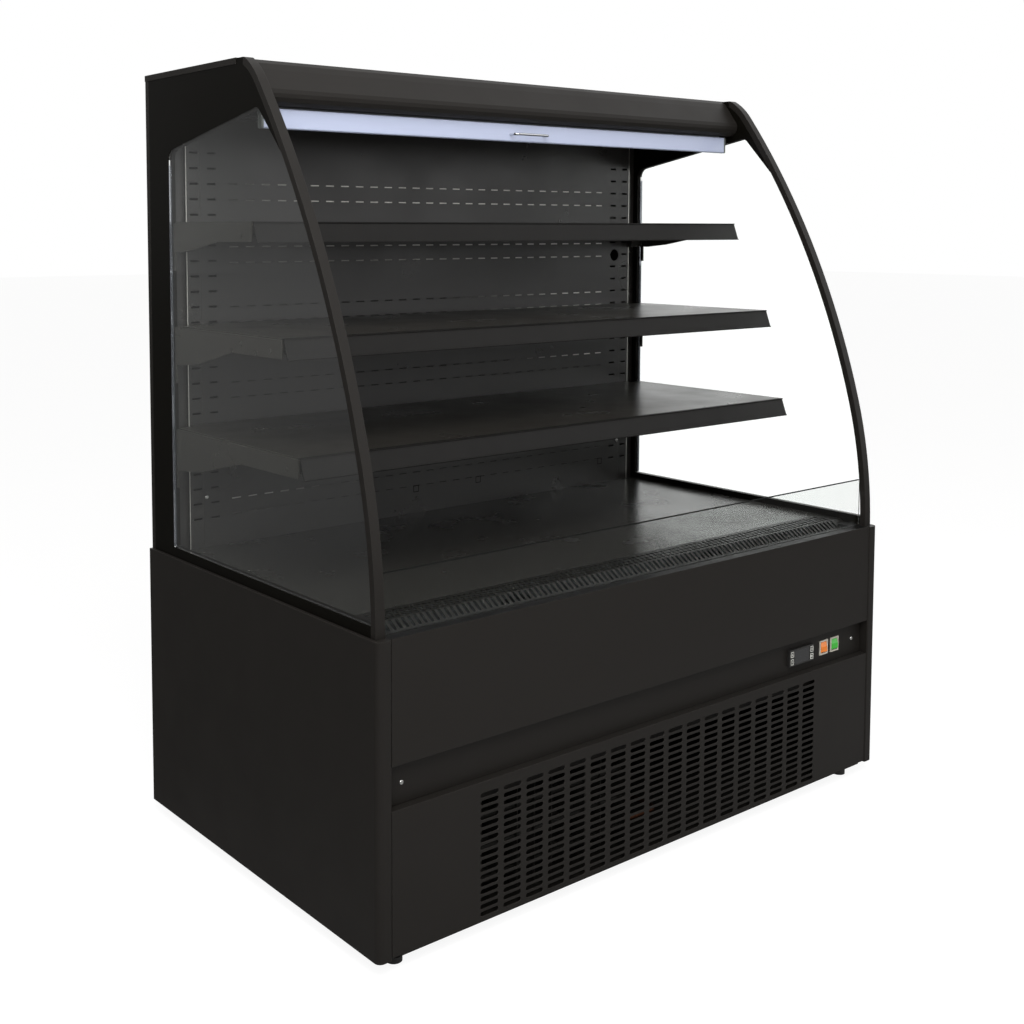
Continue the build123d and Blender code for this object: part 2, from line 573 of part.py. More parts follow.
with BuildPart() as rocker_frames:
    for rocker_x in ROCKER_XS:
        wide, tall = ROCKER_FRAME[0] / 2, ROCKER_FRAME[1] / 2
        block(rocker_x - wide, rocker_x + wide, CONTROL_FACE - ROCKER_FRAME_PROUD, CONTROL_FACE,
              CONTROL_LINE - tall, CONTROL_LINE + tall)
        shell_wide, shell_tall = wide - ROCKER_WALL / 2, tall - ROCKER_WALL / 2
        block(rocker_x - shell_wide, rocker_x + shell_wide, CONTROL_FACE, CONTROL_FACE + ROCKER_BODY_DEEP,
              CONTROL_LINE - shell_tall, CONTROL_LINE + shell_tall)
        well_wide, well_tall = wide - ROCKER_WALL, tall - ROCKER_WALL
        block(rocker_x - well_wide, rocker_x + well_wide,
              CONTROL_FACE - 2 * ROCKER_FRAME_PROUD, CONTROL_FACE + ROCKER_BODY_DEEP - ROCKER_WALL,
              CONTROL_LINE - well_tall, CONTROL_LINE + well_tall, Mode.SUBTRACT)
        rod_x(rocker_x - well_wide - 1.1, rocker_x + well_wide + 1.1, ROCKER_PIVOT, CONTROL_LINE,
              PIN_RADIUS + PIN_PLAY, Mode.SUBTRACT)
save(rocker_frames.part, "rocker_frames")

for rocker_name, rocker_x in zip(ROCKER_NAMES, ROCKER_XS):
    with BuildPart() as rocker:
        with BuildSketch(Plane.YZ.offset(rocker_x - ROCKER_HALF_WIDE)):
            with BuildLine():
                face = [(ROCKER_ROOT, -ROCKER_HALF_TALL), (-ROCKER_ENDS, -ROCKER_HALF_TALL),
                        (-ROCKER_CROWN, 0), (-ROCKER_ENDS, ROCKER_HALF_TALL),
                        (ROCKER_ROOT, ROCKER_HALF_TALL)]
                Polyline(*[placed((y + ROCKER_PIVOT, z + CONTROL_LINE)) for y, z in face], close=True)
            make_face()
        extrude(amount=2 * ROCKER_HALF_WIDE)
        pin_half = ROCKER_HALF_WIDE + ROCKER_PLAY + 1.0
        rod_x(rocker_x - pin_half, rocker_x + pin_half, ROCKER_PIVOT, CONTROL_LINE, PIN_RADIUS)
    pivot = Axis((rocker_x, ROCKER_PIVOT + Y0, CONTROL_LINE + Z0), (1, 0, 0))
    save(rocker.part.rotate(pivot, -ROCKER_SWING), rocker_name)

# ---------------------------------------------------------------- lower grille panel
GRILLE_FLANGE = 17.0
GRILLE_SIDE_FLANGE = 12.0
with BuildPart() as lower_grille_panel:
    block(-PANEL_HALF, PANEL_HALF, PANEL_BACK, PANEL_BACK + SHEET, GRILLE_BOTTOM, GRILLE_TOP)
    block(-PANEL_HALF, PANEL_HALF, PANEL_BACK, GRILLE_FLANGE, GRILLE_TOP - SHEET, GRILLE_TOP)
    block(-PANEL_HALF, PANEL_HALF, PANEL_BACK, GRILLE_FLANGE, GRILLE_BOTTOM, GRILLE_BOTTOM + SHEET)
    for side in (-1, 1):
        edge_x = sorted((side * PANEL_HALF, side * (PANEL_HALF - SHEET)))
        block(*edge_x, PANEL_BACK, GRILLE_SIDE_FLANGE, GRILLE_BOTTOM, GRILLE_TOP)
    slots_middle = GRILLE_LOWEST_SLOT + (GRILLE_ROWS - 1) * GRILLE_ROW_PITCH / 2
    with BuildSketch(Plane.XZ.offset(-PANEL_BACK - Y0)):
        with Locations((0, slots_middle + Z0)):
            with GridLocations(GRILLE_COLUMN_PITCH, GRILLE_ROW_PITCH, GRILLE_COLUMNS, GRILLE_ROWS):
                SlotOverall(GRILLE_SLOT_WIDTH, GRILLE_SLOT_HEIGHT)
    extrude(amount=SHEET, both=True, mode=Mode.SUBTRACT)
save(lower_grille_panel.part, "lower_grille_panel")

# ---------------------------------------------------------------- air return grille and deck
DECK_SIDE_GAP = 1.5
DECK_HALF = FRAME_IN - DECK_SIDE_GAP
FINE_LONG = 8.0
FINE_WIDE = 3.5
FINE_ROWS = (108.0, 119.0)
with BuildPart() as air_return_grille:
    front_edge = TUB_FRONT + FACE
    block(-DECK_HALF, DECK_HALF, front_edge, RETURN_END, DECK_TOP - SHEET, DECK_TOP)
    block(-DECK_HALF, DECK_HALF, front_edge, front_edge + SHEET, BODY_HEIGHT, DECK_TOP)
    block(-DECK_HALF, DECK_HALF, RETURN_END - SHEET, RETURN_END, BODY_HEIGHT, DECK_TOP)
    for side in (-1, 1):
        edge_x = sorted((side * DECK_HALF, side * (DECK_HALF - SHEET)))
        block(*edge_x, front_edge, RETURN_END, BODY_HEIGHT, DECK_TOP)
    slot_count = int(2 * (DECK_HALF - RETURN_BLOCK) // RETURN_PITCH)
    with BuildSketch(Plane.XY.offset(Z0 + DECK_TOP)):
        with Locations((0, RETURN_START + RETURN_SLOT / 2 + Y0)):
            with GridLocations(RETURN_PITCH, RETURN_SLOT, slot_count, 1):
                SlotOverall(RETURN_SLOT, RETURN_SLOT_WIDTH, rotation=90)
        for row, fine_y in enumerate(FINE_ROWS):
            with Locations(((row - 0.5) * RETURN_PITCH / 2, fine_y + Y0)):
                with GridLocations(RETURN_PITCH, FINE_LONG, slot_count, 1):
                    SlotOverall(FINE_LONG, FINE_WIDE, rotation=90)
    extrude(amount=-SHEET, mode=Mode.SUBTRACT)
save(air_return_grille.part, "air_return_grille")

DECK_FRONT = RETURN_END + FACE
DECK_REAR_GAP = 1.0
DECK_REAR = BACK_FACE - DECK_REAR_GAP
with BuildPart() as deck_tray:
    block(-DECK_HALF, DECK_HALF, DECK_FRONT, DECK_REAR, DECK_TOP - SHEET, DECK_TOP)
    block(-DECK_HALF, DECK_HALF, DECK_FRONT, DECK_FRONT + SHEET, BODY_HEIGHT, DECK_TOP)
    for side in (-1, 1):
        edge_x = sorted((side * DECK_HALF, side * (DECK_HALF - SHEET)))
        block(*edge_x, DECK_FRONT, DECK_REAR, BODY_HEIGHT, DECK_TOP)
save(deck_tray.part, "deck_tray")

# ---------------------------------------------------------------- uprights and back panel
UPRIGHT_SHEET = 2.0
UPRIGHT_INNER = UPRIGHT_EDGE - UPRIGHT_FRONT
UPRIGHT_LEDGE = 15.0        # ledge behind the back panel's edge, which is screwed to it
BACK_SHEET = 1.2
BACK_SCREW = (566.0, 613.0)
SENSOR_HOLE = (553.0, 1071.0, 14.0)
HOOK_DROP = 15.0            # shelf top down to its bracket's hook
HOOK_SLOT_X = (UPRIGHT_INNER + UPRIGHT_EDGE) / 2 - 2.0
HOOK_WIDE = 16.0
HOOK_THICK = 2.0
SLOT_COUNT = int((CEILING - 60.0 - FIRST_SLOT) // SLOT_PITCH) + 1
SLOT_HEIGHTS = [FIRST_SLOT + SLOT_PITCH * row for row in range(SLOT_COUNT)]


def slot_holes(x, y, heights):
    """Row of short level slots, one above another, cut through the sheet at y."""
    with BuildSketch(Plane.XZ.offset(-y - Y0)) as holes:
        with Locations(*[(x, height + Z0) for height in heights]):
            Rectangle(SLOT_LONG, SLOT_HIGH)
    return holes.sketch


def shelf_upright(side):
    """Folded upright on the rear wall: ledge, slotted face, then a flange to the end frame."""
    t = UPRIGHT_SHEET
    ledge_face = BACK_FACE + BACK_SHEET
    walls = [
        (UPRIGHT_INNER, UPRIGHT_EDGE, BACK_FACE, BACK_FACE + t),
        (UPRIGHT_EDGE - t, UPRIGHT_EDGE, BACK_FACE, FLANGE_FACE + t),
        (UPRIGHT_EDGE - t, FRAME_IN, FLANGE_FACE, FLANGE_FACE + t),
        (FRAME_IN - t, FRAME_IN, FLANGE_FACE, WALL_FRONT),
        (UPRIGHT_INNER, UPRIGHT_INNER + t, BACK_FACE, WALL_FRONT),
        (UPRIGHT_INNER - UPRIGHT_LEDGE, UPRIGHT_INNER, ledge_face, ledge_face + t),
    ]
    with BuildPart() as upright:
        for x_low, x_high, y_low, y_high in walls:
            block(*sorted((side * x_low, side * x_high)), y_low, y_high, BODY_HEIGHT, CEILING)
        hooks = [top - HOOK_DROP for top in SHELF_TOPS]
        for heights in (SLOT_HEIGHTS, hooks):
            extrude(slot_holes(side * HOOK_SLOT_X, BACK_FACE, heights), amount=2 * t,
                    both=True, mode=Mode.SUBTRACT)
        rod_y(side * BACK_SCREW[0], BACK_FACE, ledge_face + 2 * t, BACK_SCREW[1],
              SCREW_SHANK + SCREW_PLAY, Mode.SUBTRACT)
        if side > 0:
            rod_y(SENSOR_HOLE[0], BACK_FACE, ledge_face + 2 * t, *SENSOR_HOLE[1:], Mode.SUBTRACT)
    return upright.part


save(Compound(children=[shelf_upright(-1), shelf_upright(1)]), "shelf_uprights")

BACK_HALF = UPRIGHT_INNER - PANEL_FIT
BACK_BOTTOM = 470.0
EDGE_SLOT_X = 547.0
with BuildPart() as back_panel:
    block(-BACK_HALF, BACK_HALF, BACK_FACE, BACK_FACE + BACK_SHEET, BACK_BOTTOM, CEILING)
    dash_count = int(2 * (EDGE_SLOT_X - DASH_PITCH / 2) // DASH_PITCH)
    with BuildSketch(Plane.XZ.offset(-BACK_FACE - Y0)):
        for row_height in DASH_ROWS:
            with Locations((0, row_height + Z0)):
                with GridLocations(DASH_PITCH, DASH_PITCH, dash_count, 1):
                    Rectangle(DASH_LONG, DASH_HIGH)
        for side in (-1, 1):
            with Locations(*[(side * EDGE_SLOT_X, height + Z0) for height in SLOT_HEIGHTS]):
                Rectangle(SLOT_LONG, SLOT_HIGH)
            with Locations((side * BACK_SCREW[0], BACK_SCREW[1] + Z0)):
                Circle(SCREW_SHANK + SCREW_PLAY)
        with Locations((SENSOR_HOLE[0], SENSOR_HOLE[1] + Z0)):
            Circle(SENSOR_HOLE[2])
    extrude(amount=2 * BACK_SHEET, both=True, mode=Mode.SUBTRACT)
save(back_panel.part, "back_panel")

with BuildPart() as panel_screws:
    screws = [(side * SCREW_X, CONTROL_FACE, CONTROL_LINE) for side in (-1, 1)]
    screws += [(side * BACK_SCREW[0], BACK_FACE, BACK_SCREW[1]) for side in (-1, 1)]
    for screw_x, seat, height in screws:
        rod_y(screw_x, seat - SCREW_HEAD_TALL, seat, height, SCREW_HEAD)
        rod_y(screw_x, seat, seat + SCREW_LONG, height, SCREW_SHANK)
    fillet(panel_screws.edges().filter_by(GeomType.CIRCLE).filter_by(
        lambda edge: edge.radius > SCREW_SHANK + 1 and any(
            abs(edge.center().Y - Y0 - seat + SCREW_HEAD_TALL) < 0.01 for _, seat, _ in screws)), 1.2)
save(panel_screws.part, "panel_screws")

# ---------------------------------------------------------------- fans and motors
MOTOR_RADIUS = 30.0
MOTOR_LONG = 42.0
MOTOR_STRIP = (14.0, 3.0)     # strip across the hole: height and thickness
SHAFT_RADIUS = 3.0
SHAFT_PLAY = 0.05
HUB_RADIUS = 20.0
HUB_LONG = 16.0
BLADES = 5
BLADE_SHEET = 2.0
BLADE_PITCH = 32.0            # degrees
FAN_AHEAD = 3.0               # strip to the hub
EVAPORATOR_HOLE = 62.0
EVAPORATOR_FAN = 56.0
CONDENSER_HOLE = 105.0
CONDENSER_FAN = 98.0


def fan_at(x, y_rear, z, radius):
    """Hub with its bore and pitched blades, on an axis along Y; y_rear is the hub's rear face."""
    with BuildPart() as fan:
        Cylinder(HUB_RADIUS, HUB_LONG)
        with PolarLocations(0, BLADES):
            blade_length = radius - HUB_RADIUS / 2
            with Locations(Location((HUB_RADIUS / 2 + blade_length / 2, 0, 0), (BLADE_PITCH, 0, 0))):
                Box(blade_length, 0.55 * radius, BLADE_SHEET)
        Cylinder(radius, HUB_LONG, mode=Mode.INTERSECT)
        Cylinder(SHAFT_RADIUS + SHAFT_PLAY, 2 * HUB_LONG, mode=Mode.SUBTRACT)
    turned = fan.part.rotate(Axis.X, 90)
    return turned.moved(Location((x, y_rear - HUB_LONG / 2 + Y0, z + Z0)))


def motor_at(x, y_seat, z, hole_radius):
    """Motor on a strip across a fan hole; the strip is fixed to the plate's rear face at y_seat."""
    with BuildPart() as motor:
        block(x - hole_radius - 12, x + hole_radius + 12, y_seat, y_seat + MOTOR_STRIP[1],
              z - MOTOR_STRIP[0] / 2, z + MOTOR_STRIP[0] / 2)
        rod_y(x, y_seat + MOTOR_STRIP[1], y_seat + MOTOR_STRIP[1] + MOTOR_LONG, z, MOTOR_RADIUS)
        rod_y(x, y_seat - FAN_AHEAD - HUB_LONG, y_seat, z, SHAFT_RADIUS)
    return motor.part


# ---------------------------------------------------------------- evaporator in the tub
FAN_PLATE_Y = 127.0
FAN_PLATE_FLANGE = (118.0, 138.0)
FAN_HEIGHT = 428.0
FAN_XS = (-260.0, 260.0)
WELL_HALF = INNER - TUB_WALL
FLANGE_TOP = BODY_HEIGHT
with BuildPart() as evaporator_fan_plate:
    block(-WELL_HALF, WELL_HALF, FAN_PLATE_Y, FAN_PLATE_Y + SHEET, TUB_INSIDE, FLANGE_TOP)
    block(-WELL_HALF, WELL_HALF, *FAN_PLATE_FLANGE, FLANGE_TOP - SHEET, FLANGE_TOP)
    block(-WELL_HALF, WELL_HALF, FAN_PLATE_Y, FAN_PLATE_FLANGE[1], TUB_INSIDE, TUB_INSIDE + SHEET)
    for fan_x in FAN_XS:
        rod_y(fan_x, FAN_PLATE_Y - SHEET, FAN_PLATE_Y + 2 * SHEET, FAN_HEIGHT,
              EVAPORATOR_HOLE, Mode.SUBTRACT)
save(evaporator_fan_plate.part, "evaporator_fan_plate")

FIN_PITCH = 40.0
FIN_SHEET = 2.0
TUBE_RADIUS = 6.0


def finned_coil(x_middle, half_long, y_low, y_high, z_low, z_high, rows, columns, foot):
    """Tubes through a row of fins, with two end plates that stand on the floor at foot."""
    with BuildPart() as coil:
        fins = int(2 * half_long // FIN_PITCH)
        for fin in range(-fins // 2 + 1, fins // 2):
            fin_x = x_middle + fin * FIN_PITCH
            block(fin_x - FIN_SHEET / 2, fin_x + FIN_SHEET / 2, y_low, y_high, z_low, z_high)
        for column in range(columns):
            for row in range(rows):
                tube_y = y_low + (column + 0.5) * (y_high - y_low) / columns
                tube_z = z_low + (row + 0.5) * (z_high - z_low) / rows
                rod_x(x_middle - half_long, x_middle + half_long, tube_y, tube_z, TUBE_RADIUS)
        for end in (-1, 1):
            plate_x = sorted((x_middle + end * half_long, x_middle + end * (half_long + FIN_SHEET)))
            block(*plate_x, y_low - 5, y_high + 5, foot, z_high + 5)
    return coil.part


COIL_HALF = 520.0
COIL_Y = (330.0, 480.0)
COIL_Z = (362.0, 460.0)
COIL_INLET = 400.0             # height of the liquid line at the coil's front
evaporator_coil = finned_coil(0, COIL_HALF, *COIL_Y, *COIL_Z, 2, 3, TUB_INSIDE)
save(evaporator_coil, "evaporator_coil")

# ---------------------------------------------------------------- condensing unit
CONDENSER_X = -250.0
CONDENSER_HALF = 180.0
CONDENSER_Y = (40.0, 85.0)
CONDENSER_Z = (12.0, 292.0)
SHROUD_DEEP = 30.0
CONDENSER_FAN_Z = 150.0
condenser_coil = finned_coil(CONDENSER_X, CONDENSER_HALF, *CONDENSER_Y, *CONDENSER_Z, 5, 2, PAN)
save(condenser_coil, "condenser_coil")

SHROUD_HALF = CONDENSER_HALF + FIN_SHEET
SHROUD_FRONT = CONDENSER_Y[1] + 5
SHROUD_REAR = SHROUD_FRONT + SHROUD_DEEP
with BuildPart() as fan_shroud:
    block(CONDENSER_X - SHROUD_HALF, CONDENSER_X + SHROUD_HALF, SHROUD_FRONT, SHROUD_REAR,
          PAN, CONDENSER_Z[1] + 5)
    block(CONDENSER_X - SHROUD_HALF + SHEET, CONDENSER_X + SHROUD_HALF - SHEET, SHROUD_FRONT,
          SHROUD_REAR - SHEET, PAN + SHEET, CONDENSER_Z[1] + 5 - SHEET, Mode.SUBTRACT)
    rod_y(CONDENSER_X, SHROUD_REAR - 2 * SHEET, SHROUD_REAR + SHEET, CONDENSER_FAN_Z,
          CONDENSER_HOLE, Mode.SUBTRACT)
save(fan_shroud.part, "fan_shroud")

motors = [motor_at(fan_x, FAN_PLATE_Y + SHEET, FAN_HEIGHT, EVAPORATOR_HOLE) for fan_x in FAN_XS]
motors.append(motor_at(CONDENSER_X, SHROUD_REAR, CONDENSER_FAN_Z, CONDENSER_HOLE))
save(Compound(children=motors), "fan_motors")
for fan_name, fan_x in zip(("evaporator_fan_left", "evaporator_fan_right"), FAN_XS):
    save(fan_at(fan_x, FAN_PLATE_Y + SHEET - FAN_AHEAD, FAN_HEIGHT, EVAPORATOR_FAN), fan_name)
save(fan_at(CONDENSER_X, SHROUD_REAR - FAN_AHEAD, CONDENSER_FAN_Z, CONDENSER_FAN), "condenser_fan")

COMPRESSOR_PLACE = (220.0, 480.0)
COMPRESSOR_RADIUS = 82.0
COMPRESSOR_BASE = 18.0
COMPRESSOR_TOP = 210.0
COMPRESSOR_DOME = 38.0         # rounding of its two ends
COMPRESSOR_PLATE = (100.0, 65.0)   # half sizes of its foot plate
PLATE_UNDER = COMPRESSOR_BASE - 4.0
PLATE_OVER = COMPRESSOR_BASE + 12.0
RUBBER_FOOT = (85.0, 50.0, 12.0)   # place of a rubber foot from the middle, and its radius
with BuildPart() as compressor:
    cx, cy = COMPRESSOR_PLACE
    rod_z(cx, cy, COMPRESSOR_BASE, COMPRESSOR_TOP, COMPRESSOR_RADIUS)
    fillet(compressor.edges().filter_by(GeomType.CIRCLE), COMPRESSOR_DOME)
    block(cx - COMPRESSOR_PLATE[0], cx + COMPRESSOR_PLATE[0], cy - COMPRESSOR_PLATE[1],
          cy + COMPRESSOR_PLATE[1], PLATE_UNDER, PLATE_OVER)
    for along in (-1, 1):
        for across in (-1, 1):
            rod_z(cx + along * RUBBER_FOOT[0], cy + across * RUBBER_FOOT[1], PAN, PLATE_UNDER,
                  RUBBER_FOOT[2])
save(compressor.part, "compressor")

TRAY = (380.0, 580.0, 500.0, 700.0)
TRAY_TALL = 55.0
with BuildPart() as drain_pan:
    block(*TRAY, PAN, PAN + TRAY_TALL)
    block(TRAY[0] + SHEET, TRAY[1] - SHEET, TRAY[2] + SHEET, TRAY[3] - SHEET,
          PAN + SHEET, PAN + TRAY_TALL, Mode.SUBTRACT)
save(drain_pan.part, "drain_pan")

PIPE_BEND = 18.0


def pipe(*points):
    """Bent copper tube through the given points."""
    path_points = [(x, y + Y0, z + Z0) for x, y, z in points]
    with BuildPart() as tube:
        with BuildLine():
            path = FilletPolyline(*path_points, radius=PIPE_BEND)
        with BuildSketch(Plane(origin=path @ 0, z_dir=path % 0)):
            Circle(PIPE)
        sweep()
    return tube.part


condenser_end = CONDENSER_X + SHROUD_HALF
coil_end = COIL_HALF + FIN_SHEET
pipes = [
    pipe((cx - 20, cy, COMPRESSOR_TOP), (cx - 20, cy, 275), (cx - 20, 62, 275), (condenser_end, 62, 275)),
    pipe((coil_end, SUCTION_DROP[1], 430), (*SUCTION_DROP, 430), (*SUCTION_DROP, 262),
         (cx + 20, SUCTION_DROP[1], 262), (cx + 20, cy, 262), (cx + 20, cy, COMPRESSOR_TOP)),
    pipe((condenser_end, 62, 40), (LIQUID_RISE[0], 62, 40), (*LIQUID_RISE, 40),
         (*LIQUID_RISE, COIL_INLET), (LIQUID_RISE[0], COIL_Y[0], COIL_INLET)),
]
save(Compound(children=pipes), "refrigerant_pipes")

# ---------------------------------------------------------------- roof and canopy
with BuildPart() as top_panel:
    block(-FRAME_IN, FRAME_IN, ROOF_FRONT, WALL_FRONT, ROOF_UNDER, FRAME_TOP)
    block(-FRAME_OUT - CAP_SHEET, FRAME_OUT + CAP_SHEET, ROOF_FRONT, REAR, FRAME_TOP, TOP)
    for side in (-1, 1):
        lip_x = sorted((side * FRAME_OUT, side * (FRAME_OUT + CAP_SHEET)))
        block(*lip_x, ROOF_FRONT, REAR, TOP - CAP_LIP, TOP)
save(top_panel.part, "top_panel")

# Fascia outline: (back from the front datum, down from the end frames' top).
FASCIA = [(ROOF_FRONT, 0), (416.5, 0), (408, 6), (399, 17), (384.4, 37), (373, 52.3), (371.3, 59.6),
          (372, 66.6), (376, 74), (384, 79.5), (397, 81)]
FASCIA_RETURN = 398.0         # the lower lip ends here; the flange above is fixed to the roof slab
with BuildPart() as canopy_fascia:
    with BuildSketch(Plane.YZ.offset(-CANOPY_HALF)) as fascia_section:
        with BuildLine():
            corners = [(y, FRAME_TOP - drop) for y, drop in FASCIA]
            corners.append((ROOF_FRONT, FRAME_TOP - FASCIA[-1][1]))
            Polyline(*[placed(corner) for corner in corners], close=True)
        make_face()
        offset(fascia_section.sketch_local, amount=-SHEET, kind=Kind.INTERSECTION, mode=Mode.SUBTRACT)
    extrude(amount=2 * CANOPY_HALF)
    block(-HALF, HALF, FASCIA_RETURN, ROOF_FRONT + SHEET, CEILING - SHEET, ROOF_UNDER, Mode.SUBTRACT)
save(canopy_fascia.part, "canopy_fascia")

CHAMBER_REAR = 446.0          # partition between the blind's chamber and the air duct
LINER_BOTTOM = TOP - 97.0
HONEYCOMB_REAR = 508.5
HONEYCOMB_LEDGE = 2.5
ROLLER_PIN = 4.0
ROLLER_PIN_PLAY = 0.05
ROLLER_HALF = 600.0
LINER_END = (402.0, BACK_FACE)
DUCT_TOP = CEILING + SHEET
with BuildPart() as canopy_liner:
    block(-CANOPY_HALF, CANOPY_HALF, CHAMBER_REAR, CHAMBER_REAR + SHEET, LINER_BOTTOM, ROOF_UNDER)
    block(-CANOPY_HALF, CANOPY_HALF, HONEYCOMB_REAR, BACK_FACE + UPRIGHT_SHEET, CEILING, DUCT_TOP)
    block(-CANOPY_HALF, CANOPY_HALF, HONEYCOMB_REAR, HONEYCOMB_REAR + SHEET, LINER_BOTTOM, DUCT_TOP)
    front_ledge = CHAMBER_REAR + SHEET
    block(-CANOPY_HALF, CANOPY_HALF, front_ledge, front_ledge + HONEYCOMB_LEDGE,
          LINER_BOTTOM, LINER_BOTTOM + SHEET)
    block(-CANOPY_HALF, CANOPY_HALF, HONEYCOMB_REAR - HONEYCOMB_LEDGE, HONEYCOMB_REAR,
          LINER_BOTTOM, LINER_BOTTOM + SHEET)
    for side in (-1, 1):
        end_x = sorted((side * CANOPY_HALF, side * (CANOPY_HALF - SHEET)))
        block(*end_x, LINER_END[0], HONEYCOMB_REAR, LINER_BOTTOM, ROOF_UNDER)
        block(*end_x, HONEYCOMB_REAR, LINER_END[1], CEILING, ROOF_UNDER)
    rod_x(-HALF, HALF, *ROLLER_AXIS, ROLLER_PIN + ROLLER_PIN_PLAY, Mode.SUBTRACT)
save(canopy_liner.part, "canopy_liner")

CELLS = 60
CELL_ROWS = 2
CELL_WALL = 2.0
CELL_TALL = CEILING - LINER_BOTTOM - SHEET
with BuildPart() as air_honeycomb:
    comb_front = front_ledge + FACE
    comb_rear = HONEYCOMB_REAR - FACE
    comb_half = CANOPY_HALF - SHEET - FACE
    block(-comb_half, comb_half, comb_front, comb_rear, LINER_BOTTOM + SHEET, CEILING)
    cell_x = 2 * comb_half / CELLS
    cell_y = (comb_rear - comb_front - 2 * HONEYCOMB_LEDGE) / CELL_ROWS
    with BuildSketch(Plane.XY.offset(Z0 + CEILING)):
        with Locations((0, (comb_front + comb_rear) / 2 + Y0)):
            with GridLocations(cell_x, cell_y, CELLS, CELL_ROWS):
                Rectangle(cell_x - CELL_WALL, cell_y - CELL_WALL)
    extrude(amount=-CELL_TALL, mode=Mode.SUBTRACT)
save(air_honeycomb.part, "air_honeycomb")

LAMP_HALF = 560.0
LAMP_Y = (520.0, 545.0)
LAMP_TALL = 10.0
with BuildPart() as led_lamp:
    block(-LAMP_HALF, LAMP_HALF, *LAMP_Y, CEILING - LAMP_TALL, CEILING)
    fillet(led_lamp.edges().filter_by(Axis.X).group_by(Axis.Z)[0], 4.0)
save(led_lamp.part, "led_lamp")

# ---------------------------------------------------------------- night blind
WOUND = 3.0                   # thickness of cloth wound on the roller
ROLLER_OUT = ROLLER_RADIUS + WOUND
with BuildPart() as blind_roller:
    rod_x(-ROLLER_HALF, ROLLER_HALF, *ROLLER_AXIS, ROLLER_OUT)
    rod_x(-CANOPY_HALF + FACE, CANOPY_HALF - FACE, *ROLLER_AXIS, ROLLER_PIN)
save(blind_roller.part, "blind_roller")

BAR_TOP = BLIND_BAR_BOTTOM + BLIND_BAR_TALL
BAR_FRONT = BLIND_BAR_BACK - BLIND_BAR_DEPTH
CLOTH_REAR = ROLLER_AXIS[0] - ROLLER_OUT - 0.1
with BuildPart() as blind_cloth:
    block(-ROLLER_HALF, ROLLER_HALF, CLOTH_REAR - CLOTH, CLOTH_REAR, BAR_TOP, ROLLER_AXIS[1])
save(blind_cloth.part, "blind_cloth")

with BuildPart() as blind_bar:
    block(-BLIND_BAR_HALF, BLIND_BAR_HALF, BAR_FRONT, BLIND_BAR_BACK, BLIND_BAR_BOTTOM, BAR_TOP)
    fillet(blind_bar.edges().filter_by(Axis.X).group_by(Axis.Y)[0], 2.5)
save(blind_bar.part, "blind_bar")

HANDLE_HALF = 44.0
HANDLE_REACH = 19.0
HANDLE_WIRE = 2.5
HANDLE_HEIGHT = BLIND_BAR_BOTTOM + 13.5
HANDLE_BEND = 8.0
with BuildPart() as blind_handle:
    with BuildLine():
        handle_y = BAR_FRONT - HANDLE_REACH
        corners = [(-HANDLE_HALF, BAR_FRONT), (-HANDLE_HALF, handle_y),
                   (HANDLE_HALF, handle_y), (HANDLE_HALF, BAR_FRONT)]
        handle_path = FilletPolyline(
            *[(x, y + Y0, HANDLE_HEIGHT + Z0) for x, y in corners], radius=HANDLE_BEND)
    with BuildSketch(Plane(origin=handle_path @ 0, z_dir=handle_path % 0)):
        Circle(HANDLE_WIRE)
    sweep()
save(blind_handle.part, "blind_handle")

# ---------------------------------------------------------------- shelves
SHELF_SIDE_GAP = 1.6          # a shelf's brackets to the end glass
SHELF_COLUMN_GAP = 6.0
SHELF_HALF = GLASS_IN - BRACKET_SHEET - SHELF_SIDE_GAP
SHELF_MAIN_REAR = COLUMN_FACE - SHELF_COLUMN_GAP
SHELF_REAR = BACK_FACE - SHELF_TILT_ROOM
WEB_OUT = UPRIGHT_EDGE - 2.0
WEB_SHEET = 2.0
BRACKET_TOP_DROP = 3.0
TAB_TALL = 35.0
TAB_WIDE = 7.0
TAB_DEEP = 8.0
BRACKET_SCREW = (37.0, 23.0, 4.0)     # back from the bracket's nose, down from the top, radius


def shelf_plate(top, front):
    """Sheet shelf with its four edges folded down, narrower where it passes the rear columns."""
    plate_front = front + RAIL_LEG
    narrow = WEB_OUT - WEB_SHEET - 0.5
    fold = top - SHELF_FOLD
    wide_rear = SHELF_MAIN_REAR - BRACKET_SHEET
    with BuildPart() as plate:
        block(-SHELF_HALF, SHELF_HALF, plate_front, wide_rear, top - SHEET, top)
        block(-narrow, narrow, wide_rear, SHELF_REAR, top - SHEET, top)
        block(-SHELF_HALF, SHELF_HALF, plate_front, plate_front + SHEET, fold, top)
        block(-narrow, narrow, SHELF_REAR - SHEET, SHELF_REAR, top - SHELF_FOLD / 2, top)
        for side in (-1, 1):
            edge_x = sorted((side * SHELF_HALF, side * (SHELF_HALF - SHEET)))
            block(*edge_x, plate_front, wide_rear, fold, top)
    return plate.part


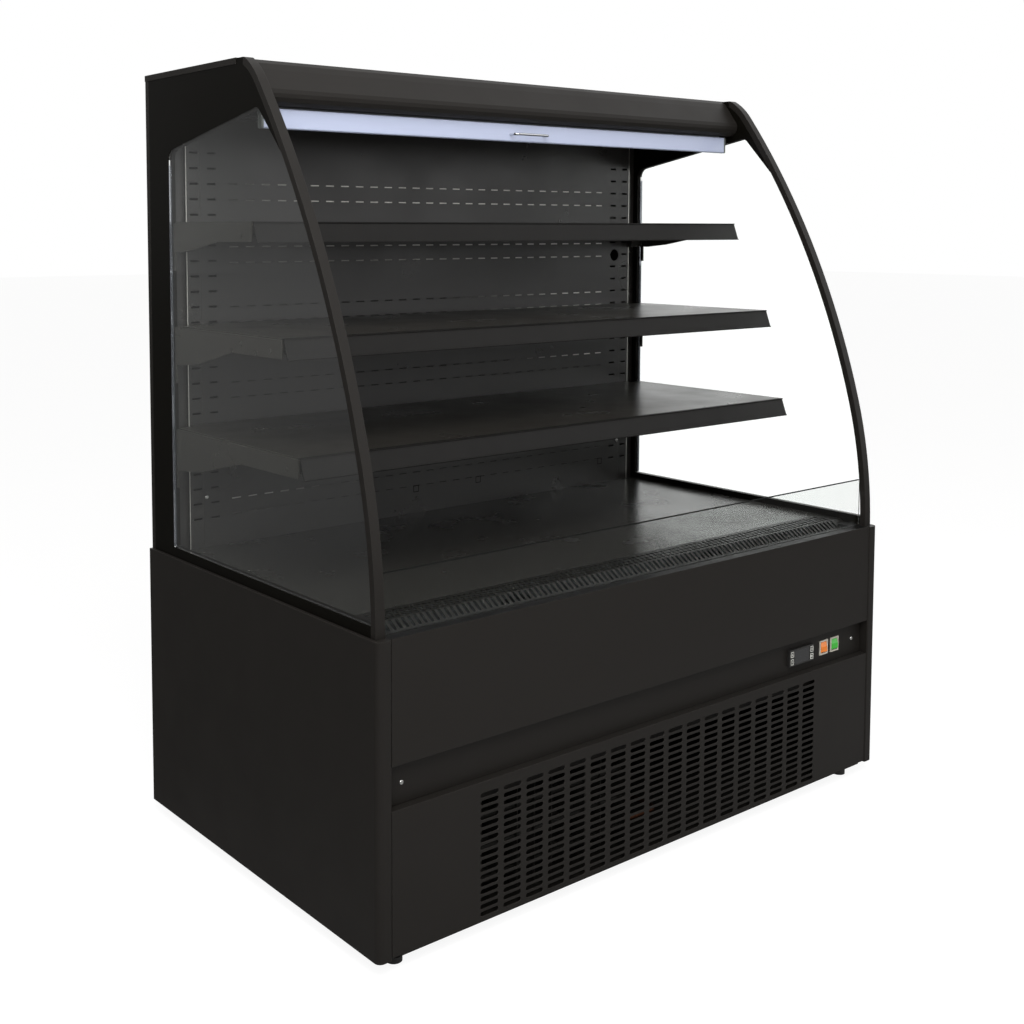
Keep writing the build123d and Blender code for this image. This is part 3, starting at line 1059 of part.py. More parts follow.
def price_rail(top, front):
    """Extruded ticket rail: a face that leans forward, its top leg and its rib against the shelf."""
    rear = front + RAIL_LEG
    lip = 2.0
    rib = top - SHELF_FOLD + 4.0
    lean = RAIL_LEAN / RAIL_TALL
    foot = front - RAIL_LEAN
    outline = [
        (rear, top), (front - lip, top), (front - lip, top - lip), (front, top - lip),
        (foot, top - RAIL_TALL + lip), (foot - lip, top - RAIL_TALL + lip), (foot - lip, top - RAIL_TALL),
        (foot + RAIL_WALL, top - RAIL_TALL),
        (front - lean * (top - rib) + RAIL_WALL, rib - RAIL_WALL), (rear, rib - RAIL_WALL), (rear, rib),
        (front - lean * (top - rib) + RAIL_WALL, rib),
        (front + RAIL_WALL - lean * RAIL_WALL, top - RAIL_WALL), (rear, top - RAIL_WALL),
    ]
    with BuildPart() as rail:
        extrude(outline_yz(outline, -SHELF_HALF), amount=2 * SHELF_HALF)
    return rail.part


def shelf_bracket(side, top, front, heel, flat):
    """Side plate under one end of a shelf, cranked inwards behind it to its hook on the upright."""
    rear = SHELF_MAIN_REAR
    crest = top - BRACKET_TOP_DROP
    nose = front + 2.0
    hook = top - HOOK_DROP
    slope_end = rear - TAB_DEEP - 15.0
    outline = [
        (nose, crest), (rear, crest), (rear, top - heel - TAB_TALL),
        (rear - TAB_DEEP, top - heel - TAB_TALL), (rear - TAB_DEEP, top - heel), (slope_end, top - heel),
        (slope_end - 60.0, top - heel + 6.0), (front + flat, top - BRACKET_NOSE - 1.0),
        (nose, top - BRACKET_NOSE),
    ]
    x_out = SHELF_HALF + BRACKET_SHEET
    start = min(side * SHELF_HALF, side * x_out)
    with BuildPart() as bracket:
        extrude(outline_yz(outline, start), amount=BRACKET_SHEET)
        block(*sorted((side * x_out, side * (WEB_OUT - WEB_SHEET))), rear - BRACKET_SHEET, rear,
              top - heel, hook + HOOK_THICK)
        block(*sorted((side * WEB_OUT, side * (WEB_OUT - WEB_SHEET))), rear - BRACKET_SHEET,
              BACK_FACE - FACE, top - heel, hook + HOOK_THICK)
        hook_low, hook_high = hook - HOOK_THICK / 2, hook + HOOK_THICK / 2
        block(*sorted((side * WEB_OUT, side * (HOOK_SLOT_X - HOOK_WIDE / 2))),
              BACK_FACE - 6.0, BACK_FACE - FACE, hook_low, hook_high)
        block(*sorted((side * (HOOK_SLOT_X + HOOK_WIDE / 2), side * (HOOK_SLOT_X - HOOK_WIDE / 2))),
              BACK_FACE - 6.0, BACK_FACE + UPRIGHT_SHEET + 3.0, hook_low, hook_high)
        back, down, radius = BRACKET_SCREW
        screw_x = sorted((side * x_out, side * (x_out + 1.2)))
        rod_x(*screw_x, nose + back, top - down, radius)
    return bracket.part


shelves = zip(SHELF_TOPS, SHELF_FRONTS, SHELF_HEELS, SHELF_FLATS)
for number, (top, front, heel, flat) in enumerate(shelves, start=1):
    save(shelf_plate(top, front), f"shelf_{number}")
    save(price_rail(top, front), f"shelf_{number}_price_rail")
    brackets = [shelf_bracket(side, top, front, heel, flat) for side in (-1, 1)]
    save(Compound(children=brackets), f"shelf_{number}_brackets")
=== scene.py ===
import math
import bmesh
import bpy
import numpy as np
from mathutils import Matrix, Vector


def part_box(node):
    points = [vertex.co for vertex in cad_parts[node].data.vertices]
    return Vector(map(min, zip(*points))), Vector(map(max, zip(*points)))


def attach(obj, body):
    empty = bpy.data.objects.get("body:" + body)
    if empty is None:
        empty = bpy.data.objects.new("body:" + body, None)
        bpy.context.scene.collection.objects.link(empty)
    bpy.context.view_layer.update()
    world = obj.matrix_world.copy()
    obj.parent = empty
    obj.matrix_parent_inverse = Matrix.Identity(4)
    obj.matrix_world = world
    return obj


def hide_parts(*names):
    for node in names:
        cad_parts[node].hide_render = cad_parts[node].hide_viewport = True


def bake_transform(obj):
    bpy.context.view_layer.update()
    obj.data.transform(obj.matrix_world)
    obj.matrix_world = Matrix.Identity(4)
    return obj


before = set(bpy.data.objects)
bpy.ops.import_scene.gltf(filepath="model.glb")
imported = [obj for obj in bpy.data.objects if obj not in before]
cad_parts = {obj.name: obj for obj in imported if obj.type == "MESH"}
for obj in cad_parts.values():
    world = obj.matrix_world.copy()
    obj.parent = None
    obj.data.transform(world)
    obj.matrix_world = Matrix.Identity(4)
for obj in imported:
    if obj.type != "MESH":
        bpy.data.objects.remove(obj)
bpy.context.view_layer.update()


# ------------------------------------------------------------ powder-coated sheet steel
# Nearly the whole fridge is folded sheet steel, powder coated satin black and baked. The
# powder flows into a fine orange peel, and its folds are painted paler as a painted highlight.
def linear(hexcode):
    """sRGB hex to linear RGBA: each channel by the standard curve."""
    channels = [int(hexcode[i:i + 2], 16) / 255 for i in (1, 3, 5)]
    return [c / 12.92 if c <= 0.04045 else ((c + 0.055) / 1.055) ** 2.4 for c in channels] + [1.0]


def add(tree, kind, inputs=None, **settings):
    """One node with its settings; an input given as a socket is linked, any other value is set."""
    node = tree.nodes.new(kind)
    for name, value in settings.items():
        setattr(node, name, value)
    for name, value in (inputs or {}).items():
        if isinstance(value, bpy.types.NodeSocket):
            tree.links.new(value, node.inputs[name])
        else:
            node.inputs[name].default_value = value
    return node


def ramp(tree, source, stops):
    """Colour ramp from (place, grey or hex) stops."""
    node = add(tree, "ShaderNodeValToRGB", {"Fac": source})
    elements = node.color_ramp.elements
    while len(elements) < len(stops):
        elements.new(0.5)
    for element, (place, shade) in zip(elements, stops):
        element.position = place
        element.color = linear(shade) if isinstance(shade, str) else (shade, shade, shade, 1)
    return node.outputs["Color"]


def new_material(name, **sockets):
    """Empty material with a Principled shader whose plain sockets are set; gives tree, shader and places."""
    material = bpy.data.materials.new(name)
    material.use_nodes = True
    tree = material.node_tree
    tree.nodes.clear()
    shader = add(tree, "ShaderNodeBsdfPrincipled", sockets)
    output = add(tree, "ShaderNodeOutputMaterial", {"Surface": shader.outputs["BSDF"]})
    places = add(tree, "ShaderNodeTexCoord").outputs["Object"]
    return material, tree, shader, places, output


def powder_coat(name, shade, rough, specular, peel=0.0009, depth=0.10, top=None):
    """Satin black powder coat: orange peel bumps about a millimetre wide, cloudy gloss, folds painted paler
    as a painted highlight; top is a painted shade given to the faces that look up."""
    material, tree, shader, places, _ = new_material(
        name, **{"Specular IOR Level": specular, "IOR": 1.5})
    cloud = add(tree, "ShaderNodeTexNoise", {"Vector": places, "Scale": 9.0, "Detail": 4.0})
    grain = add(tree, "ShaderNodeTexNoise", {"Vector": places, "Scale": 0.5 / peel, "Detail": 2.0})
    edge = add(tree, "ShaderNodeBevel", {"Radius": 0.0011}, samples=4)
    flat = add(tree, "ShaderNodeNewGeometry").outputs["Normal"]
    turned = add(tree, "ShaderNodeVectorMath", operation="DOT_PRODUCT")
    tree.links.new(edge.outputs["Normal"], turned.inputs[0])
    tree.links.new(flat, turned.inputs[1])
    # Painted highlight: near a fold the colour rises to about twice the base colour, standing in for lit
    # edges.
    fold = ramp(tree, turned.outputs["Value"], [(0.80, 1.0), (0.97, 0.0)])
    base = linear(shade)
    pale = [min(1.0, 2.1 * c + 0.004) for c in base[:3]] + [1.0]
    tint = add(tree, "ShaderNodeMix", {"Factor": fold, "A": base, "B": pale}, data_type="RGBA")
    # Faces that look up take the top colour: painted shade.
    if top:
        painted_shade_facing_up = add(tree, "ShaderNodeSeparateXYZ", {"Vector": flat}).outputs["Z"]
        tint = add(tree, "ShaderNodeMix", {"Factor": ramp(tree, painted_shade_facing_up, [(0.8, 0.0), (0.95, 1.0)]),
                                           "A": tint.outputs["Result"], "B": linear(top)}, data_type="RGBA")
    tree.links.new(tint.outputs["Result"], shader.inputs["Base Color"])
    gloss = add(tree, "ShaderNodeMapRange", {"Value": cloud.outputs["Fac"], "From Min": 0.3, "From Max": 0.7,
                                             "To Min": rough - 0.04, "To Max": rough + 0.05})
    tree.links.new(gloss.outputs["Result"], shader.inputs["Roughness"])
    bump = add(tree, "ShaderNodeBump", {"Height": grain.outputs["Fac"], "Strength": depth, "Distance": 0.0003,
                                        "Normal": edge.outputs["Normal"]})
    tree.links.new(bump.outputs["Normal"], shader.inputs["Normal"])
    return material


def finish_node(node, *materials):
    """Put materials into a CAD node's slots, in order; the last one fills what is left."""
    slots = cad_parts[node].data.materials
    if not slots:
        slots.append(materials[0])
    for index in range(len(slots)):
        slots[index] = materials[min(index, len(materials) - 1)]


outer_coat = powder_coat("outer_powder_coat", "#1a1816", 0.42, 0.16)
frame_coat = powder_coat("frame_powder_coat", "#080705", 0.32, 0.07)
inner_coat = powder_coat("inner_powder_coat", "#1b1917", 0.31, 0.72)
dark_coat = powder_coat("underside_powder_coat", "#141311", 0.45, 0.12)
shelf_coat = powder_coat("shelf_powder_coat", "#201e1b", 0.30, 0.5, depth=0.03)
deck_coat = powder_coat("deck_powder_coat", "#262523", 0.24, 0.5, depth=0.02)
for node in ("side_panel_left", "side_panel_right", "control_plate", "lower_grille_panel",
             "canopy_fascia", "rear_wall", "top_panel", "edge_bar_left", "edge_bar_right"):
    finish_node(node, outer_coat)
for node in ("end_frame_left", "end_frame_right"):
    finish_node(node, frame_coat)
for node in ("back_panel", "shelf_uprights"):
    finish_node(node, inner_coat)
for node in ("canopy_liner", "base_frame", "fan_shroud", "condenser_coil"):
    finish_node(node, dark_coat)
for number in (1, 2, 3):
    finish_node(f"shelf_{number}", shelf_coat)
    finish_node(f"shelf_{number}_brackets", shelf_coat)
finish_node("deck_tray", deck_coat)


# ------------------------------------------------------------ moulded black plastics
# Feet, fans, drain pan, honeycomb, price rails and the controller's case: injection moulded or
# extruded ABS and PVC with a fine spark-eroded grain that scatters the light.
def moulded(name, shade, rough, grain=0.0006, specular=0.45, coat=0.0):
    """Moulded plastic: faint cloudy colour and a fine grain; grain is about the width of one bump."""
    material, tree, shader, places, _ = new_material(
        name, **{"Specular IOR Level": specular, "IOR": 1.49, "Coat Weight": coat})
    cloud = add(tree, "ShaderNodeTexNoise", {"Vector": places, "Scale": 30.0, "Detail": 3.0})
    base = linear(shade)
    pale = [1.18 * c + 0.002 for c in base[:3]] + [1.0]
    tint = add(tree, "ShaderNodeMix", {"Factor": cloud.outputs["Fac"], "A": base, "B": pale},
               data_type="RGBA")
    tree.links.new(tint.outputs["Result"], shader.inputs["Base Color"])
    speck = add(tree, "ShaderNodeTexNoise", {"Vector": places, "Scale": 0.5 / grain, "Detail": 2.0})
    gloss = add(tree, "ShaderNodeMapRange", {"Value": speck.outputs["Fac"], "To Min": rough - 0.05,
                                             "To Max": rough + 0.05})
    tree.links.new(gloss.outputs["Result"], shader.inputs["Roughness"])
    bump = add(tree, "ShaderNodeBump", {"Height": speck.outputs["Fac"], "Strength": 0.15, "Distance": 0.0002})
    tree.links.new(bump.outputs["Normal"], shader.inputs["Normal"])
    return material


black_plastic = moulded("moulded_black_abs", "#191817", 0.46)
rail_plastic = moulded("extruded_black_pvc", "#0f0e0d", 0.42, specular=0.15)
for node in ("levelling_feet", "air_honeycomb", "drain_pan", "condenser_fan", "evaporator_fan_left",
             "evaporator_fan_right", "controller_body"):
    finish_node(node, black_plastic)
for number in (1, 2, 3):
    finish_node(f"shelf_{number}_price_rail", rail_plastic)

# ------------------------------------------------------------ bare and zinc-coated metal
# The rear cover and the evaporator's fan plate are galvanised sheet with its zinc flowers, the
# evaporator is mill aluminium, the pipes are drawn copper gone dull, the screws bright zinc plated.
def metal(name, shade, rough, pattern, scale, stretch=(1, 1, 1), depth=0.3):
    """Bare metal whose colour and roughness vary with a noise or cell pattern of a real size."""
    material, tree, shader, places, _ = new_material(name, **{"Metallic": 1.0})
    placed = add(tree, "ShaderNodeMapping", {"Vector": places, "Scale": stretch})
    if pattern == "spangle":
        source = add(tree, "ShaderNodeTexVoronoi", {"Vector": placed.outputs["Vector"], "Scale": scale}
                     ).outputs["Color"]
    else:
        source = add(tree, "ShaderNodeTexNoise", {"Vector": placed.outputs["Vector"], "Scale": scale,
                                                 "Detail": 3.0}).outputs["Fac"]
    base = linear(shade)
    dark = [0.72 * c for c in base[:3]] + [1.0]
    grey = add(tree, "ShaderNodeRGBToBW", {"Color": source}).outputs["Val"]
    tint = add(tree, "ShaderNodeMix", {"Factor": grey, "A": dark, "B": base}, data_type="RGBA")
    tree.links.new(tint.outputs["Result"], shader.inputs["Base Color"])
    gloss = add(tree, "ShaderNodeMapRange", {"Value": grey, "To Min": rough - 0.07, "To Max": rough + 0.07})
    tree.links.new(gloss.outputs["Result"], shader.inputs["Roughness"])
    bump = add(tree, "ShaderNodeBump", {"Height": grey, "Strength": depth, "Distance": 0.0001})
    tree.links.new(bump.outputs["Normal"], shader.inputs["Normal"])
    return material


galvanised = metal("galvanised_steel", "#9fa3a5", 0.42, "spangle", 110.0)
mill_aluminium = metal("mill_aluminium", "#b9bbbd", 0.33, "drawn", 700.0, (0.04, 1, 1))
bare_copper = metal("dulled_copper", "#4d2f20", 0.45, "drawn", 500.0, (1, 1, 0.1))
zinc_plate = metal("bright_zinc_plate", "#e6e6e2", 0.22, "drawn", 1500.0)
for node in ("rear_cover", "evaporator_fan_plate"):
    finish_node(node, galvanised)
finish_node("evaporator_coil", mill_aluminium)
finish_node("refrigerant_pipes", bare_copper)
finish_node("panel_screws", zinc_plate)
for node in ("compressor", "fan_motors"):
    finish_node(node, powder_coat(f"{node}_enamel", "#1a1a1b", 0.5, 0.35))

# ------------------------------------------------------------ insulated tub
# Foamed tub under the deck: a black polystyrene skin, vacuum formed, so it has a soft satin
# sheen and a very shallow unevenness.
finish_node("insulated_tub", moulded("vacuum_formed_polystyrene", "#0b0b0b", 0.5, 0.003))


# ------------------------------------------------------------ end glasses and riser glass
# Toughened float glass, 6 mm at the ends and 4 mm along the front. It is clear, with a trace of
# the green of iron that varies a little over the pane.
def float_glass(name, tint):
    """Clear glass: smooth Principled transmission; straight shadows, so light reaches what is behind it."""
    material, tree, shader, places, output = new_material(
        name, **{"Transmission Weight": 1.0, "IOR": 1.5, "Roughness": 0.0})
    film = add(tree, "ShaderNodeTexNoise", {"Vector": places, "Scale": 2.5, "Detail": 5.0})
    tinted = ramp(tree, film.outputs["Fac"], [(0.3, tint), (0.7, "#ffffff")])
    tree.links.new(tinted, shader.inputs["Base Color"])
    path = add(tree, "ShaderNodeLightPath")
    clear = add(tree, "ShaderNodeBsdfTransparent", {"Color": linear(tint)})
    mixed = add(tree, "ShaderNodeMixShader", {0: path.outputs["Is Shadow Ray"], 1: shader.outputs["BSDF"],
                                              2: clear.outputs["BSDF"]})
    tree.links.new(mixed.outputs["Shader"], output.inputs["Surface"])
    return material


clear_glass = float_glass("toughened_float_glass", "#fbfefc")
for node in ("end_glass_left", "end_glass_right", "riser_glass"):
    finish_node(node, clear_glass)

# ------------------------------------------------------------ controls
# Panel controller with a black acrylic window, four soft keys and two lit rocker switches of
# coloured translucent plastic in pale grey bezels.
finish_node("controller_display", moulded("black_acrylic", "#060607", 0.08, specular=0.5, coat=1.0))
key_plastic = moulded("key_silicone", "#2a2a29", 0.5)
for node in ("key_up_left", "key_down_left", "key_up_right", "key_down_right"):
    finish_node(node, key_plastic)
finish_node("rocker_frames", moulded("bezel_grey_abs", "#a5a095", 0.45))
finish_node("defrost_rocker", moulded("orange_polycarbonate", "#d0701c", 0.25, coat=0.5))
finish_node("light_rocker", moulded("green_polycarbonate", "#2f9a2a", 0.25, coat=0.5))

# ------------------------------------------------------------ lamp
# Opal polycarbonate cover over a strip of diodes, under the canopy's ceiling; it is switched off.
finish_node("led_lamp", moulded("opal_polycarbonate", "#e8e8e2", 0.4))

# ------------------------------------------------------------ night blind
# The pull bar is white lacquered aluminium with a chrome wire handle. The cloth between it and
# the roller is a woven grey blind fabric, seen only as a narrow strip while it is wound up.
def lacquer(name, shade, rough):
    """White lacquer on extruded aluminium: even colour, faint draw lines along X."""
    material, tree, shader, places, _ = new_material(name, **{"Coat Weight": 0.3, "Specular IOR Level": 0.5})
    lines = add(tree, "ShaderNodeMapping", {"Vector": places, "Scale": (0.02, 1, 1)})
    drawn = add(tree, "ShaderNodeTexNoise", {"Vector": lines.outputs["Vector"], "Scale": 900.0,
                                             "Detail": 2.0})
    shade_in = linear(shade)
    dim = [0.93 * c for c in shade_in[:3]] + [1.0]
    tint = add(tree, "ShaderNodeMix", {"Factor": drawn.outputs["Fac"], "A": dim, "B": shade_in},
               data_type="RGBA")
    tree.links.new(tint.outputs["Result"], shader.inputs["Base Color"])
    gloss = add(tree, "ShaderNodeMapRange", {"Value": drawn.outputs["Fac"], "To Min": rough - 0.04,
                                             "To Max": rough + 0.06})
    tree.links.new(gloss.outputs["Result"], shader.inputs["Roughness"])
    bump = add(tree, "ShaderNodeBump", {"Height": drawn.outputs["Fac"], "Strength": 0.1, "Distance": 0.0001})
    tree.links.new(bump.outputs["Normal"], shader.inputs["Normal"])
    return material


finish_node("blind_bar", lacquer("white_lacquered_aluminium", "#a2a9bf", 0.35))
finish_node("blind_handle", metal("chrome_plate", "#e2e4e6", 0.12, "drawn", 1200.0, depth=0.05))


def piece(name, points, faces, material, body, slot):
    """A finished mesh piece from vertex and face arrays; it rides on its body."""
    mesh = bpy.data.meshes.new(name)
    mesh.from_pydata(np.asarray(points, float).reshape(-1, 3).tolist(), [], np.asarray(faces).tolist())
    mesh.materials.append(material)
    mesh.update()
    made = bpy.data.objects.new(name, mesh)
    bpy.context.scene.collection.objects.link(made)
    if body:
        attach(made, body)
    return made


def boxes(lows, highs):
    """Closed boxes between arrays of low and high corners: points and outward quads."""
    lows, highs = np.asarray(lows, float), np.asarray(highs, float)
    pick = np.array([[i, j, k] for k in (0, 1) for j in (0, 1) for i in (0, 1)])
    points = np.where(pick[None] == 0, lows[:, None], highs[:, None])
    quads = np.array([[0, 2, 3, 1], [4, 5, 7, 6], [0, 1, 5, 4], [2, 6, 7, 3], [0, 4, 6, 2], [1, 3, 7, 5]])
    faces = quads[None] + 8 * np.arange(len(lows))[:, None, None]
    return points.reshape(-1, 3), faces.reshape(-1, 4)


def grid_faces(rows, columns):
    """Quads of a rows by columns grid of points stored row by row."""
    i = np.arange(rows - 1)[:, None] * columns + np.arange(columns - 1)[None, :]
    return np.stack([i, i + 1, i + columns + 1, i + columns], axis=-1).reshape(-1, 4)


def weave(name, shade, spacing):
    """Grid-woven cloth: warp and weft waves that cross at the given spacing, with a soft sheen."""
    material, tree, shader, places, _ = new_material(
        name, **{"Roughness": 0.85, "Sheen Weight": 0.25, "Specular IOR Level": 0.3})
    radians_a_metre = 20         # phase of the wave texture over a metre, at scale 1
    scale = 2 * math.pi / spacing / radians_a_metre
    across = add(tree, "ShaderNodeTexWave", {"Vector": places, "Scale": scale}, bands_direction="X")
    along = add(tree, "ShaderNodeTexWave", {"Vector": places, "Scale": scale}, bands_direction="Z")
    crossed = add(tree, "ShaderNodeMath", {0: across.outputs["Fac"], 1: along.outputs["Fac"]},
                  operation="MULTIPLY")
    base = linear(shade)
    dark = [0.6 * c for c in base[:3]] + [1.0]
    tint = add(tree, "ShaderNodeMix", {"Factor": crossed.outputs["Value"], "A": dark, "B": base},
               data_type="RGBA")
    tree.links.new(tint.outputs["Result"], shader.inputs["Base Color"])
    bump = add(tree, "ShaderNodeBump", {"Height": crossed.outputs["Value"], "Strength": 0.4,
                                        "Distance": 0.0003})
    tree.links.new(bump.outputs["Normal"], shader.inputs["Normal"])
    return material


blind_weave = weave("blind_fabric_weave", "#8d9094", 0.00754)
tube_aluminium = metal("extruded_aluminium_tube", "#a9acaf", 0.35, "drawn", 700.0, (0.04, 1, 1))
cloth_lo, cloth_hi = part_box("blind_cloth")
roll_lo, roll_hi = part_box("blind_roller")
roll_y, roll_z = (roll_lo.y + roll_hi.y) / 2, (roll_lo.z + roll_hi.z) / 2
tube_radius, cloth_lap, laps = 0.018, 0.0004, 6.6
fabric_thickness = 0.00033
outer_lap = tube_radius + cloth_lap / 2 + cloth_lap * laps


def turned_along_x(profile, steps):
    """Surface of revolution about the roller's axis: (x, r) turned through steps equal angles."""
    x, r = np.asarray(profile, float).T
    turn = np.linspace(0, 2 * np.pi, steps, endpoint=False)
    points = np.stack([np.repeat(x[:, None], steps, 1), roll_y + r[:, None] * np.cos(turn),
                       roll_z + r[:, None] * np.sin(turn)], -1)
    i = np.arange(len(x) - 1)[:, None] * steps + np.arange(steps)[None, :]
    j = np.arange(len(x) - 1)[:, None] * steps + (np.arange(steps)[None, :] + 1) % steps
    faces = np.stack([i, i + steps, j + steps, j], -1).reshape(-1, 4)
    return points.reshape(-1, 3), faces


def thicken(made, name, thickness, offset):
    """Give a sheet its thickness: offset 0 puts it half on each side, -1 all of it behind the face."""
    thick = made.modifiers.new(name, "SOLIDIFY")
    thick.thickness = thickness
    thick.offset = offset


pin_radius, centre = 0.0039, 1e-5
tube_end = cloth_hi.x + 0.0015
profile = [(roll_lo.x, centre), (roll_lo.x, pin_radius), (-tube_end, pin_radius),
           (-tube_end, tube_radius), (tube_end, tube_radius), (tube_end, pin_radius),
           (roll_hi.x, pin_radius), (roll_hi.x, centre)]
core = piece("blind_tube", *turned_along_x(profile, 40), tube_aluminium,
             "blind_roller_body", "coil_aluminium")
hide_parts("blind_roller")

# Wound cloth: a flat spiral whose radius grows by one lap's height a turn, the same all along X.
steps, across = 300, 7
turn = np.linspace(0, 2 * np.pi * laps, steps)
radius = outer_lap - cloth_lap * (2 * np.pi * laps - turn) / (2 * np.pi)
turn_place = turn - turn[-1] + np.pi
spiral_y = roll_y + radius * np.cos(turn_place)
spiral_z = roll_z + radius * np.sin(turn_place)
wide = np.linspace(cloth_lo.x, cloth_hi.x, across)
points = np.stack([np.broadcast_to(wide, (steps, across)), np.repeat(spiral_y[:, None], across, 1),
                   np.repeat(spiral_z[:, None], across, 1)], -1)
wound = piece("blind_wound_cloth", points, grid_faces(steps, across), blind_weave,
              "blind_roller_body", "blind_fabric")
thicken(wound, "cloth", fabric_thickness, 0)

# Hanging strip from the roll's front to the bar, with a ripple too shallow to see as a fold.
rows, columns = 9, 61
x = np.linspace(cloth_lo.x, cloth_hi.x, columns)
z = np.linspace(cloth_lo.z, roll_z, rows)
grid_x, grid_z = np.meshgrid(x, z)
grid_y = np.full_like(grid_x, roll_y - outer_lap) + 0.00015 * np.sin(grid_x * 21)
strip = piece("blind_strip", np.stack([grid_x, grid_y, grid_z], -1), grid_faces(rows, columns),
              blind_weave, None, "blind_fabric")
thicken(strip, "cloth", fabric_thickness, 0)
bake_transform(strip)
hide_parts("blind_cloth")

# ------------------------------------------------------------ end caps of the pull bar
# Moulded grey ABS caps pressed on the two ends of the extruded bar. Each stands a little proud of
# the bar all round and covers its cut end.
cap_grey = moulded("cap_grey_abs", "#4b4e4c", 0.45)
bar_lo, bar_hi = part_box("blind_bar")
cap_wider, cap_taller, cap_long, cap_end = 0.0012, 0.0008, 0.004, 0.0003


def rounded_loop(wide, tall, power, count=48):
    """Superellipse |x/a|^p + |z/b|^p = 1, as count points going round once."""
    turn = np.linspace(0, 2 * np.pi, count, endpoint=False)
    c, s = np.cos(turn), np.sin(turn)
    return np.stack([wide / 2 * np.sign(c) * np.abs(c) ** (2 / power),
                     tall / 2 * np.sign(s) * np.abs(s) ** (2 / power)], -1)


def slab(loop, low, high, axes):
    """Closed prism of a loop between two places; axes gives where loop u, v and the depth go."""
    count = len(loop)
    points = np.zeros((2 * count, 3))
    for layer, depth in enumerate((low, high)):
        points[layer * count:(layer + 1) * count, axes[0]] = loop[:, 0]
        points[layer * count:(layer + 1) * count, axes[1]] = loop[:, 1]
        points[layer * count:(layer + 1) * count, axes[2]] = depth
    i = np.arange(count)
    sides = np.stack([i, (i + 1) % count, (i + 1) % count + count, i + count], -1).tolist()
    return points, sides + [list(range(count))[::-1], list(range(count, 2 * count))]


def outward(made):
    """Recalculate a closed piece's normals so that they point out."""
    work = bmesh.new()
    work.from_mesh(made.data)
    bmesh.ops.recalc_face_normals(work, faces=work.faces)
    work.to_mesh(made.data)
    work.free()
    return made


def raw_piece(name, points, faces, material, body):
    """Like piece(), for faces of mixed corner counts; normals are made to point out."""
    mesh = bpy.data.meshes.new(name)
    mesh.from_pydata(np.asarray(points, float).tolist(), [], faces)
    mesh.materials.append(material)
    made = bpy.data.objects.new(name, mesh)
    bpy.context.scene.collection.objects.link(made)
    outward(made)
    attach(made, body)
    return made


for side, name in ((-1, "left"), (1, "right")):
    loop = rounded_loop(bar_hi.y - bar_lo.y + cap_wider, bar_hi.z - bar_lo.z + cap_taller, 9)
    loop = loop + [(bar_lo.y + bar_hi.y) / 2, (bar_lo.z + bar_hi.z) / 2]
    edge = side * bar_hi.x
    points, faces = slab(loop, edge - side * cap_long, edge + side * cap_end, (1, 2, 0))
    raw_piece(f"blind_bar_cap_{name}", points, faces, cap_grey, "blind")

# ------------------------------------------------------------ glazing seals
# Translucent silicone run in behind the ground rear edge of each end glass, with a fillet
# on both faces; it holds the pane to its column.
seal_silicone, tree, shader, places, output = new_material(
    "clear_silicone", **{"Roughness": 0.4, "IOR": 1.41, "Base Color": linear("#55575c")})
milky = add(tree, "ShaderNodeTexNoise", {"Vector": places, "Scale": 60.0})
seen = add(tree, "ShaderNodeMapRange", {"Value": milky.outputs["Fac"], "To Min": 0.5, "To Max": 0.7})
clear = add(tree, "ShaderNodeBsdfTransparent", {"Color": (0.9, 0.91, 0.95, 1)})
mixed = add(tree, "ShaderNodeMixShader", {0: seen.outputs["Result"], 1: shader.outputs["BSDF"],
                                          2: clear.outputs["BSDF"]})
tree.links.new(mixed.outputs["Shader"], output.inputs["Surface"])
bed, bond = 0.00018, 0.00005     # silicone behind the pane's edge, and clearance to the glass
for side, name in ((-1, "left"), (1, "right")):
    glass_lo, glass_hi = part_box(f"end_glass_{name}")
    inner, outer = sorted((abs(glass_lo.x), abs(glass_hi.x)))
    rear, pane_edge = glass_hi.y + bed, glass_hi.y + bond
    loop = np.array([(outer + 0.0009, rear), (inner - 0.0023, rear), (inner - 0.0023, rear - 0.0011),
                     (inner - 0.0012, rear - 0.0024), (inner - bond, rear - 0.0024),
                     (inner - bond, pane_edge), (outer + bond, pane_edge),
                     (outer + bond, rear - 0.0020), (outer + 0.0006, rear - 0.0020),
                     (outer + 0.0009, rear - 0.0014)])
    points, faces = slab(loop * [side, 1], glass_lo.z + 0.002, glass_hi.z - 0.085, (0, 1, 2))
    raw_piece(f"glazing_seal_{name}", points, faces, seal_silicone, "cabinet")

# ------------------------------------------------------------ ground edge of the riser glass
# The top edge of the front glass is ground matt and reads as a thin dark line; a skin over that
# edge, 0.2 mm thick, that carries the ground finish.
riser_lo, riser_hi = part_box("riser_glass")
skin, edge_tall = 0.0002, 0.0012
piece("riser_ground_edge", *boxes([(riser_lo.x + skin, riser_lo.y - skin, riser_hi.z - edge_tall)],
                                  [(riser_hi.x - skin, riser_hi.y + skin, riser_hi.z + skin)]),
      moulded("ground_glass_edge", "#0b0c0b", 0.7, specular=0.1), "cabinet", "clear_glass")

# ------------------------------------------------------------ air return grille
# Folded and powder-coated sheet over the step at the front of the tub: its face slopes back up to
# the deck and has one row of slots, and the flat behind it has staggered rows of holes.
grille_lo, grille_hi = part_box("air_return_grille")
slot_pitch, sheet_thickness = 0.0125, 0.0010
foot_y, foot_z = grille_lo.y + 0.0219, grille_hi.z - 0.0145
head_y = grille_lo.y + 0.0437
slope = math.hypot(head_y - foot_y, grille_hi.z - foot_z)
lip, plain_end = 0.006, 0.020
flat_end = slope + grille_hi.y - head_y


